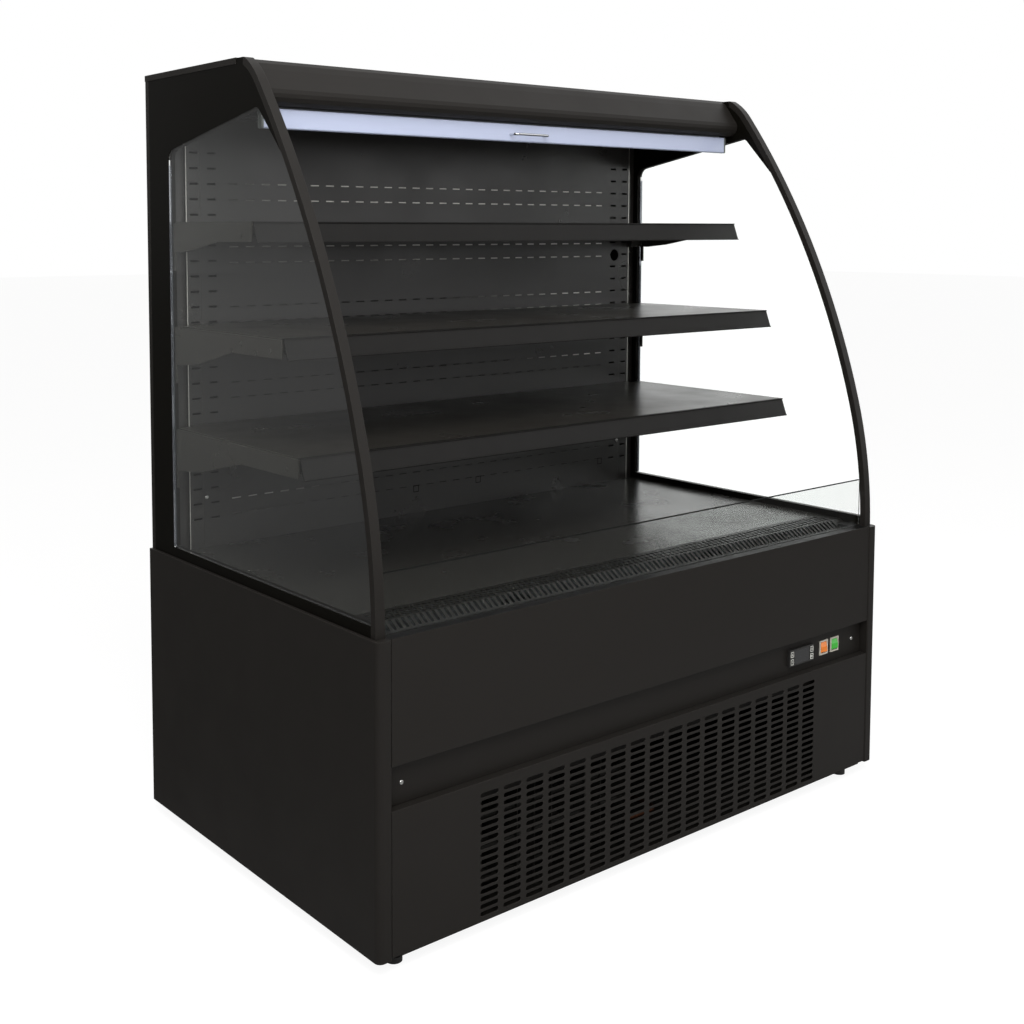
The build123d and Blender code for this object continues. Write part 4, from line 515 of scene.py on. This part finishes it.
def folded(s):
    """Place (y, z) at length s along the sheet: front lip, slope from s = 0, flat part, rear lip."""
    folds = [-lip, 0, slope, flat_end, flat_end + lip]
    y = np.interp(s, folds, [foot_y, foot_y, head_y, grille_hi.y, grille_hi.y])
    z = np.interp(s, folds, [foot_z - lip, foot_z, grille_hi.z, grille_hi.z, grille_hi.z - lip])
    return y, z


def pierced_row(s_low, s_high, pitch, shift, half_wide, half_long, power):
    """Row of equal cells, each a rectangle with a superellipse hole |x/a|^p + |y/b|^p = 1 in it,
    ringed by quads; the two ends of the row are plain."""
    around = 16
    turn = np.arange(around) * 2 * np.pi / around
    c, s = np.cos(turn), np.sin(turn)
    square = np.stack([c, s], -1) / np.maximum(np.abs(c), np.abs(s))[:, None]
    hole = np.stack([np.sign(c) * np.abs(c) ** (2 / power), np.sign(s) * np.abs(s) ** (2 / power)], -1)
    cell = np.concatenate([square * [pitch / 2, (s_high - s_low) / 2], hole * [half_wide, half_long]])
    reach = grille_hi.x - plain_end - pitch / 2
    middles = np.arange(int(2 * reach // pitch)) * pitch
    middles = middles - middles.mean() + shift
    places = cell[None] + np.stack([middles, np.full(len(middles), (s_low + s_high) / 2)], -1)[:, None]
    i = np.arange(around)
    quads = np.stack([i, (i + 1) % around, (i + 1) % around + around, i + around], -1)
    quads = (quads[None] + len(cell) * np.arange(len(middles))[:, None, None]).reshape(-1, 4)
    ends = []
    for low, high in ((grille_lo.x, middles[0] - pitch / 2), (middles[-1] + pitch / 2, grille_hi.x)):
        ends += [(low, s_low), (high, s_low), (high, s_high), (low, s_high)]
    places = np.concatenate([places.reshape(-1, 2), ends])
    end_quads = np.arange(len(places) - len(ends), len(places)).reshape(-1, 4)
    return places, np.concatenate([quads, end_quads])


hole_rows, row_long, margin = 3, 0.0138, 0.0030
slots_start, holes_start = margin, slope + margin
slot_halves, slot_power = (0.0032, 0.0106), 5
hole_halves, hole_power = (0.0040, 0.0058), 3
strips = [pierced_row(slots_start, slope, slot_pitch, 0, *slot_halves, slot_power)]
for row in range(hole_rows):
    low = holes_start + row * row_long
    shift = (row % 2) * slot_pitch / 2
    strips.append(pierced_row(low, low + row_long, slot_pitch, shift, *hole_halves, hole_power))
for low, high in ((-lip, 0), (0, slots_start), (slope, holes_start),
                  (holes_start + hole_rows * row_long, flat_end), (flat_end, flat_end + lip)):
    corners = [(grille_lo.x, low), (grille_hi.x, low), (grille_hi.x, high), (grille_lo.x, high)]
    strips.append((np.array(corners), np.array([[0, 1, 2, 3]])))
starts = np.cumsum([0] + [len(places) for places, _ in strips[:-1]])
flat_points = np.concatenate([places for places, _ in strips])
faces = np.concatenate([quads + start for (_, quads), start in zip(strips, starts)])
y, z = folded(flat_points[:, 1])
grille = piece("return_grille_sheet", np.stack([flat_points[:, 0], y, z], -1), faces,
               powder_coat("return_grille_coat", "#12110f", 0.34, 0.22, depth=0.02),
               "return_grille_body", "black_coat")
thicken(grille, "sheet", sheet_thickness, -1)
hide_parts("air_return_grille")

# ------------------------------------------------------------ front panel
# Folded sheet over the controls: its face ends in a narrow nose, behind which a lower flange runs
# back to the channel that the riser glass stands in. What looks up is painted darker, a painted shade.
panel_lo, panel_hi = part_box("front_panel")
riser_lo, riser_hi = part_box("riser_glass")
fold, nose, flange = 0.0015, panel_hi.z - 0.0035, panel_hi.z - 0.0055
channel_play = 0.00025
seat = riser_lo.z
inner_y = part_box("control_plate")[0].y
left, right = panel_lo.x, panel_hi.x
channel_front, channel_rear = riser_lo.y - channel_play, riser_hi.y + channel_play
walls = [((left, panel_lo.y, panel_lo.z), (right, panel_lo.y + fold, nose)),
         ((left, panel_lo.y + fold, panel_lo.z), (right, inner_y, panel_lo.z + fold)),
         ((left, panel_lo.y + fold, flange - fold), (right, channel_front, flange)),
         ((left, channel_front - fold, seat - fold), (right, channel_front, flange - fold)),
         ((left, channel_front, seat - fold), (right, panel_hi.y, seat)),
         ((left, channel_rear, seat), (right, panel_hi.y, flange))]
front = piece("front_panel_sheet", *boxes([low for low, _ in walls], [high for _, high in walls]),
              powder_coat("front_coat_painted_shade_on_top", "#1a1816", 0.42, 0.16, top="#050505"), "cabinet", "black_coat")
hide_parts("front_panel")

# ------------------------------------------------------------ punched squares of the back panel
# Three square knock-outs in a row, low on the back panel. Only their cut outline shows, as a thin
# dark matt ring at the sheet's face.
panel_lo, panel_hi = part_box("back_panel")
cut_line = moulded("cut_outline", "#0a0908", 0.7, specular=0.1)
knock_out_xs, knock_out_z, knock_out_wide = (-0.057, 0.120, 0.508), 0.595, 0.0145
line_keep = 0.82                 # a printed or cut line's inner edge, as a share of its outer one


def ring(loop, keep, y_front, y_back):
    """Flat ring between a loop and its copy scaled to keep about its middle, with depth in y."""
    count = len(loop)
    middle = loop.mean(0)
    inner = middle + (loop - middle) * keep
    layers = [(loop, y_front), (inner, y_front), (inner, y_back), (loop, y_back)]
    points = np.concatenate([np.stack([ring_points[:, 0], np.full(count, y), ring_points[:, 1]], -1)
                             for ring_points, y in layers])
    i = np.arange(count)
    after = (i + 1) % count
    faces = [np.stack([i + a * count, after + a * count, after + b * count, i + b * count], -1)
             for a, b in ((0, 1), (1, 2), (2, 3), (3, 0))]
    return points, np.concatenate(faces).tolist()


for number, x in enumerate(knock_out_xs):
    loop = rounded_loop(knock_out_wide, knock_out_wide, 20) + [x, knock_out_z]
    points, faces = ring(loop, line_keep, panel_lo.y - 0.0001, panel_lo.y + 0.0004)
    raw_piece(f"knock_out_{number + 1}", points, faces, cut_line, "cabinet")

# ------------------------------------------------------------ key marks
# Pale print on the four keys: a rounded frame on each, and in it a plain mark, an arrow up or down
# on the left keys, a ring and a square on the right ones.
print_white = moulded("printed_marks", "#c8c8c0", 0.6)

up_arrow = np.array([(-0.0021, -0.0016), (0.0021, -0.0016), (0.0, 0.0020)])
marks = {"key_up_left": up_arrow, "key_down_left": up_arrow * [1, -1],
         "key_up_right": rounded_loop(0.0038, 0.0038, 2),
         "key_down_right": rounded_loop(0.0036, 0.0036, 12)}
frame_wide, frame_tall, mark_keep, print_out, print_in = 0.0094, 0.0114, 0.45, 0.0001, 0.0002
for key, mark in marks.items():
    key_lo, key_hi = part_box(key)
    middle = np.array([(key_lo.x + key_hi.x) / 2, (key_lo.z + key_hi.z) / 2])
    frame_loop = rounded_loop(frame_wide, frame_tall, 7)
    for part, loop, keep in (("frame", frame_loop, line_keep), ("mark", mark, mark_keep)):
        points, faces = ring(loop + middle, keep, key_lo.y - print_out, key_lo.y + print_in)
        raw_piece(f"{key}_{part}", points, faces, print_white, f"{key}_body")

# ------------------------------------------------------------ bright edges of the uprights
# The outer fold of each slotted upright is worn through to bare steel by the shelf brackets.
bare_edge = metal("worn_steel_edge", "#e9e7e0", 0.35, "drawn", 900.0, (1, 1, 0.05))
upright_lo, upright_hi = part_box("shelf_uprights")
deck_level, foot_height = 0.5145, 0.028
edge_low = deck_level + foot_height
fold_in, fold_out = 0.6006, 0.6022
lows, highs = [], []
for side in (-1, 1):
    near, far = sorted((side * fold_in, side * fold_out))
    lows.append((near, upright_lo.y - 0.0004, edge_low))
    highs.append((far, upright_lo.y + 0.0006, upright_hi.z - 0.002))
piece("upright_bright_edges", *boxes(lows, highs), bare_edge, "cabinet", "zinc_steel")

# ------------------------------------------------------------ canopy end caps
# Flat sheet ends that close the hollow fascia at both sides, set in behind its skin.
fascia_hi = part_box("canopy_fascia")[1]
# Outline from the fridge's front and down from the fascia's top, in millimetres.
drops = np.array([(416.5, 1.8), (408, 8), (399, 19), (386, 37.5), (375.2, 52.8), (373.3, 59.6),
                  (374, 66.0), (377.6, 72.3), (385, 77.6), (397, 79), (418, 79), (418, 1.8)]) / 1000
half_depth, set_in, cap_sheet = 0.385, 0.0010, 0.002
loop = np.stack([drops[:, 0] - half_depth, fascia_hi.z - drops[:, 1]], -1)
for side, name in ((-1, "left"), (1, "right")):
    edge = side * (fascia_hi.x - set_in)
    points, faces = slab(loop, edge, edge - side * cap_sheet, (1, 2, 0))
    raw_piece(f"canopy_cap_{name}", points, faces, inner_coat, "cabinet")

# ------------------------------------------------------------ louvres of the back panel
# Each short slot of the back panel is pressed out as an air louvre. Its edge is painted near white
# as painted light, fully in the upper rows and at the right, hardly in the lower ones.
panel_lo, panel_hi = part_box("back_panel")
# Each row: its height, where along X the painted light starts and is full, and how far it goes there.
louvre_light_rows = [(1.2500, -0.52, -0.34, 1.0), (1.2186, -0.52, -0.30, 1.0), (1.1276, -1.3, 0.45, 1.0),
             (1.0967, -0.9, 0.42, 1.0), (1.0104, 0.02, 0.42, 1.0), (0.9800, 0.0, 0.45, 0.9),
             (0.8620, 0.2, 0.46, 1.0), (0.8320, 0.9, 1.2, 1.0), (0.6320, -0.25, -0.42, 0.4),
             (0.6018, -0.3, -0.5, 0.1)]
louvre_pitch, louvre_long, louvre_tall, louvre_set_back = 0.037, 0.020, 0.0025, 0.0010
count, box_corners = 28, 8
along = (np.arange(count) - (count - 1) / 2) * louvre_pitch
half = np.array([louvre_long / 2, 0.0003, louvre_tall / 2])
centres = np.array([(x, panel_lo.y + louvre_set_back, height) for height, *_ in louvre_light_rows for x in along])
louvre_light = np.concatenate([top * np.clip((along - start) / (end - start), 0, 1) ** 1.5
                       for _, start, end, top in louvre_light_rows])
louvre_metal, tree, shader, places, _ = new_material("painted_light_louvre_edge", **{"Specular IOR Level": 0.3})
louvre_light_mask = add(tree, "ShaderNodeAttribute", attribute_name="louvre_light").outputs["Fac"]
scratch = add(tree, "ShaderNodeTexNoise", {"Vector": places, "Scale": 900.0, "Detail": 3.0})
# The near-white colour is painted light; the dark colour is the coat's own.
tint = add(tree, "ShaderNodeMix", {"Factor": louvre_light_mask, "A": linear("#1a1917"), "B": linear("#f2f0ea")},
           data_type="RGBA")
tree.links.new(tint.outputs["Result"], shader.inputs["Base Color"])
gloss = add(tree, "ShaderNodeMapRange", {"Value": scratch.outputs["Fac"], "To Min": 0.4, "To Max": 0.6})
tree.links.new(gloss.outputs["Result"], shader.inputs["Roughness"])
louvres = piece("back_louvres", *boxes(centres - half, centres + half), louvre_metal, "cabinet", "zinc_steel")
wear = louvres.data.attributes.new("louvre_light", "FLOAT", "POINT")
wear.data.foreach_set("value", np.repeat(louvre_light, box_corners))

# ------------------------------------------------------------ floor, background, lights, camera
# Pale studio: the camera sees white surroundings, also through the glass. What the satin coats and
# the glass mirror is set apart and dimmer, and three soft lamps model the black panels.
floor_mesh = bpy.data.meshes.new("studio_floor")
side = 30
floor_mesh.from_pydata([(-side, -side, 0), (side, -side, 0), (side, side, 0), (-side, side, 0)],
                       [], [(0, 1, 2, 3)])
floor = bpy.data.objects.new("studio_floor", floor_mesh)
bpy.context.scene.collection.objects.link(floor)
floor_paint, tree, shader, places, output = new_material("studio_floor_paint", **{"Roughness": 0.9})
cloud = add(tree, "ShaderNodeTexNoise", {"Vector": places, "Scale": 1.5})
pale = ramp(tree, cloud.outputs["Fac"], [(0.0, "#f4f4f4"), (1.0, "#fafafa")])
tree.links.new(pale, shader.inputs["Base Color"])


def ray_kinds(tree):
    """1 for rays that come straight or through clear glass, 1 for those mirrored, and the path node."""
    path = add(tree, "ShaderNodeLightPath")
    depths = {0: path.outputs["Glossy Depth"], 1: path.outputs["Diffuse Depth"]}
    turned = add(tree, "ShaderNodeMath", depths)
    straight = add(tree, "ShaderNodeMath", {0: 1.0, 1: turned.outputs["Value"]},
                   operation="SUBTRACT", use_clamp=True)
    mirrored = add(tree, "ShaderNodeMath", depths, operation="SUBTRACT", use_clamp=True)
    return straight.outputs["Value"], mirrored.outputs["Value"], path


straight, mirror, path = ray_kinds(tree)
through, sharp = path.outputs["Is Transmission Ray"], path.outputs["Is Singular Ray"]
glow = add(tree, "ShaderNodeMapRange", {"Value": through, "To Min": 1.12, "To Max": 1.35})
lift = add(tree, "ShaderNodeEmission", {"Color": (1, 1, 1, 1), "Strength": glow.outputs["Result"]})
part_white = add(tree, "ShaderNodeMath", {0: straight, 1: 0.8}, operation="MULTIPLY")
mixed = add(tree, "ShaderNodeMixShader", {0: part_white.outputs["Value"], 1: shader.outputs["BSDF"],
                                          2: lift.outputs["Emission"]})

# The floor as mirrored: a pale band across it for the satin coats, a dimmer veil for sharp glass.
# Both vary along the floor's x - y, which runs from behind the fridge at the left to its front right.
place = add(tree, "ShaderNodeSeparateXYZ", {"Vector": add(tree, "ShaderNodeNewGeometry").outputs["Position"]})
forward = add(tree, "ShaderNodeMath", {0: place.outputs["X"], 1: place.outputs["Y"]}, operation="SUBTRACT")
spread = add(tree, "ShaderNodeMapRange", {"Value": forward.outputs["Value"], "From Min": -3.0,
                                          "From Max": 7.0})
satin = ramp(tree, spread.outputs["Result"], [(0.15, 0.07), (0.45, 0.34), (0.55, 0.30), (0.8, 0.08)])
reach = add(tree, "ShaderNodeMapRange", {"Value": forward.outputs["Value"], "From Min": -12.0,
                                         "From Max": 2.0})
veil = ramp(tree, reach.outputs["Result"], [(0.0, 0.18), (0.57, 0.12), (0.68, 0.08), (0.85, 0.045)])
chosen = add(tree, "ShaderNodeMix", {"Factor": sharp, "A": satin, "B": veil}, data_type="RGBA")
mirrored = add(tree, "ShaderNodeEmission", {"Color": chosen.outputs["Result"], "Strength": 1.0})
mixed = add(tree, "ShaderNodeMixShader", {0: mirror, 1: mixed.outputs["Shader"],
                                          2: mirrored.outputs["Emission"]})
tree.links.new(mixed.outputs["Shader"], output.inputs["Surface"])
floor_mesh.materials.append(floor_paint)

world = bpy.data.worlds.new("studio")
bpy.context.scene.world = world
world.use_nodes = True
tree = world.node_tree
tree.nodes.clear()
straight, mirror, path = ray_kinds(tree)
clear = add(tree, "ShaderNodeMapRange", {"Value": path.outputs["Is Transmission Ray"],
                                         "To Min": 1.0, "To Max": 1.14})
white = add(tree, "ShaderNodeBackground", {"Color": (1, 1, 1, 1), "Strength": clear.outputs["Result"]})
soft = add(tree, "ShaderNodeBackground", {"Color": (1, 0.99, 0.97, 1), "Strength": 0.3})
toward = add(tree, "ShaderNodeSeparateXYZ", {"Vector": add(tree, "ShaderNodeTexCoord").outputs["Generated"]})
above = add(tree, "ShaderNodeMapRange", {"Value": toward.outputs["Z"], "From Min": 0.0, "From Max": 0.7,
                                         "To Min": 0.0, "To Max": 1.0})
dimmest = add(tree, "ShaderNodeMapRange", {"Value": path.outputs["Is Singular Ray"],
                                           "To Min": 0.09, "To Max": 0.19})
aside = add(tree, "ShaderNodeMapRange", {"Value": toward.outputs["X"], "From Min": -0.5, "From Max": 0.7,
                                         "To Min": dimmest.outputs["Result"], "To Max": 1.15})
brighter = add(tree, "ShaderNodeMath", {0: above.outputs["Result"], 1: aside.outputs["Result"]},
               operation="MAXIMUM")
mirrored = add(tree, "ShaderNodeBackground", {"Color": (1, 1, 1, 1), "Strength": brighter.outputs["Value"]})
lit = add(tree, "ShaderNodeMixShader", {0: mirror, 1: soft.outputs["Background"],
                                        2: mirrored.outputs["Background"]})
both = add(tree, "ShaderNodeMixShader", {0: straight, 1: lit.outputs["Shader"],
                                         2: white.outputs["Background"]})
add(tree, "ShaderNodeOutputWorld", {"Surface": both.outputs["Shader"]})


def soft_lamp(name, place, target, size, power):
    """Square area lamp at place, turned to face target."""
    data = bpy.data.lights.new(name, "AREA")
    data.size = size
    data.energy = power
    lamp = bpy.data.objects.new(name, data)
    bpy.context.scene.collection.objects.link(lamp)
    lamp.location = place
    away = np.subtract(place, target)
    flat = math.hypot(away[0], away[1])
    lamp.rotation_euler = (math.atan2(flat, away[2]), 0, math.atan2(away[0], -away[1]))


soft_lamp("key_lamp", (-0.8, -4.2, 1.9), (0, 0, 0.8), 2.0, 35)
soft_lamp("deck_lamp", (-1.5, -2.0, 3.2), (0, -0.1, 0.5), 2.2, 135)
soft_lamp("fold_lamp", (-3.4, -2.4, 2.4), (-0.6, -0.3, 0.5), 1.2, 22)

camera_data = bpy.data.cameras.new("camera")
camera_data.sensor_fit = "HORIZONTAL"
camera_data.sensor_width = 36.0
camera_data.lens = 46.56
camera_data.shift_x = 0.0712
camera_data.shift_y = -0.1808
camera = bpy.data.objects.new("camera", camera_data)
bpy.context.scene.collection.objects.link(camera)
camera.location = (-1.79115, -1.98459, 1.16048)
camera.rotation_euler = (math.radians(90 - 4.19), 0, math.radians(-38.22))
bpy.context.scene.camera = camera
bpy.context.scene.view_settings.view_transform = "Standard"
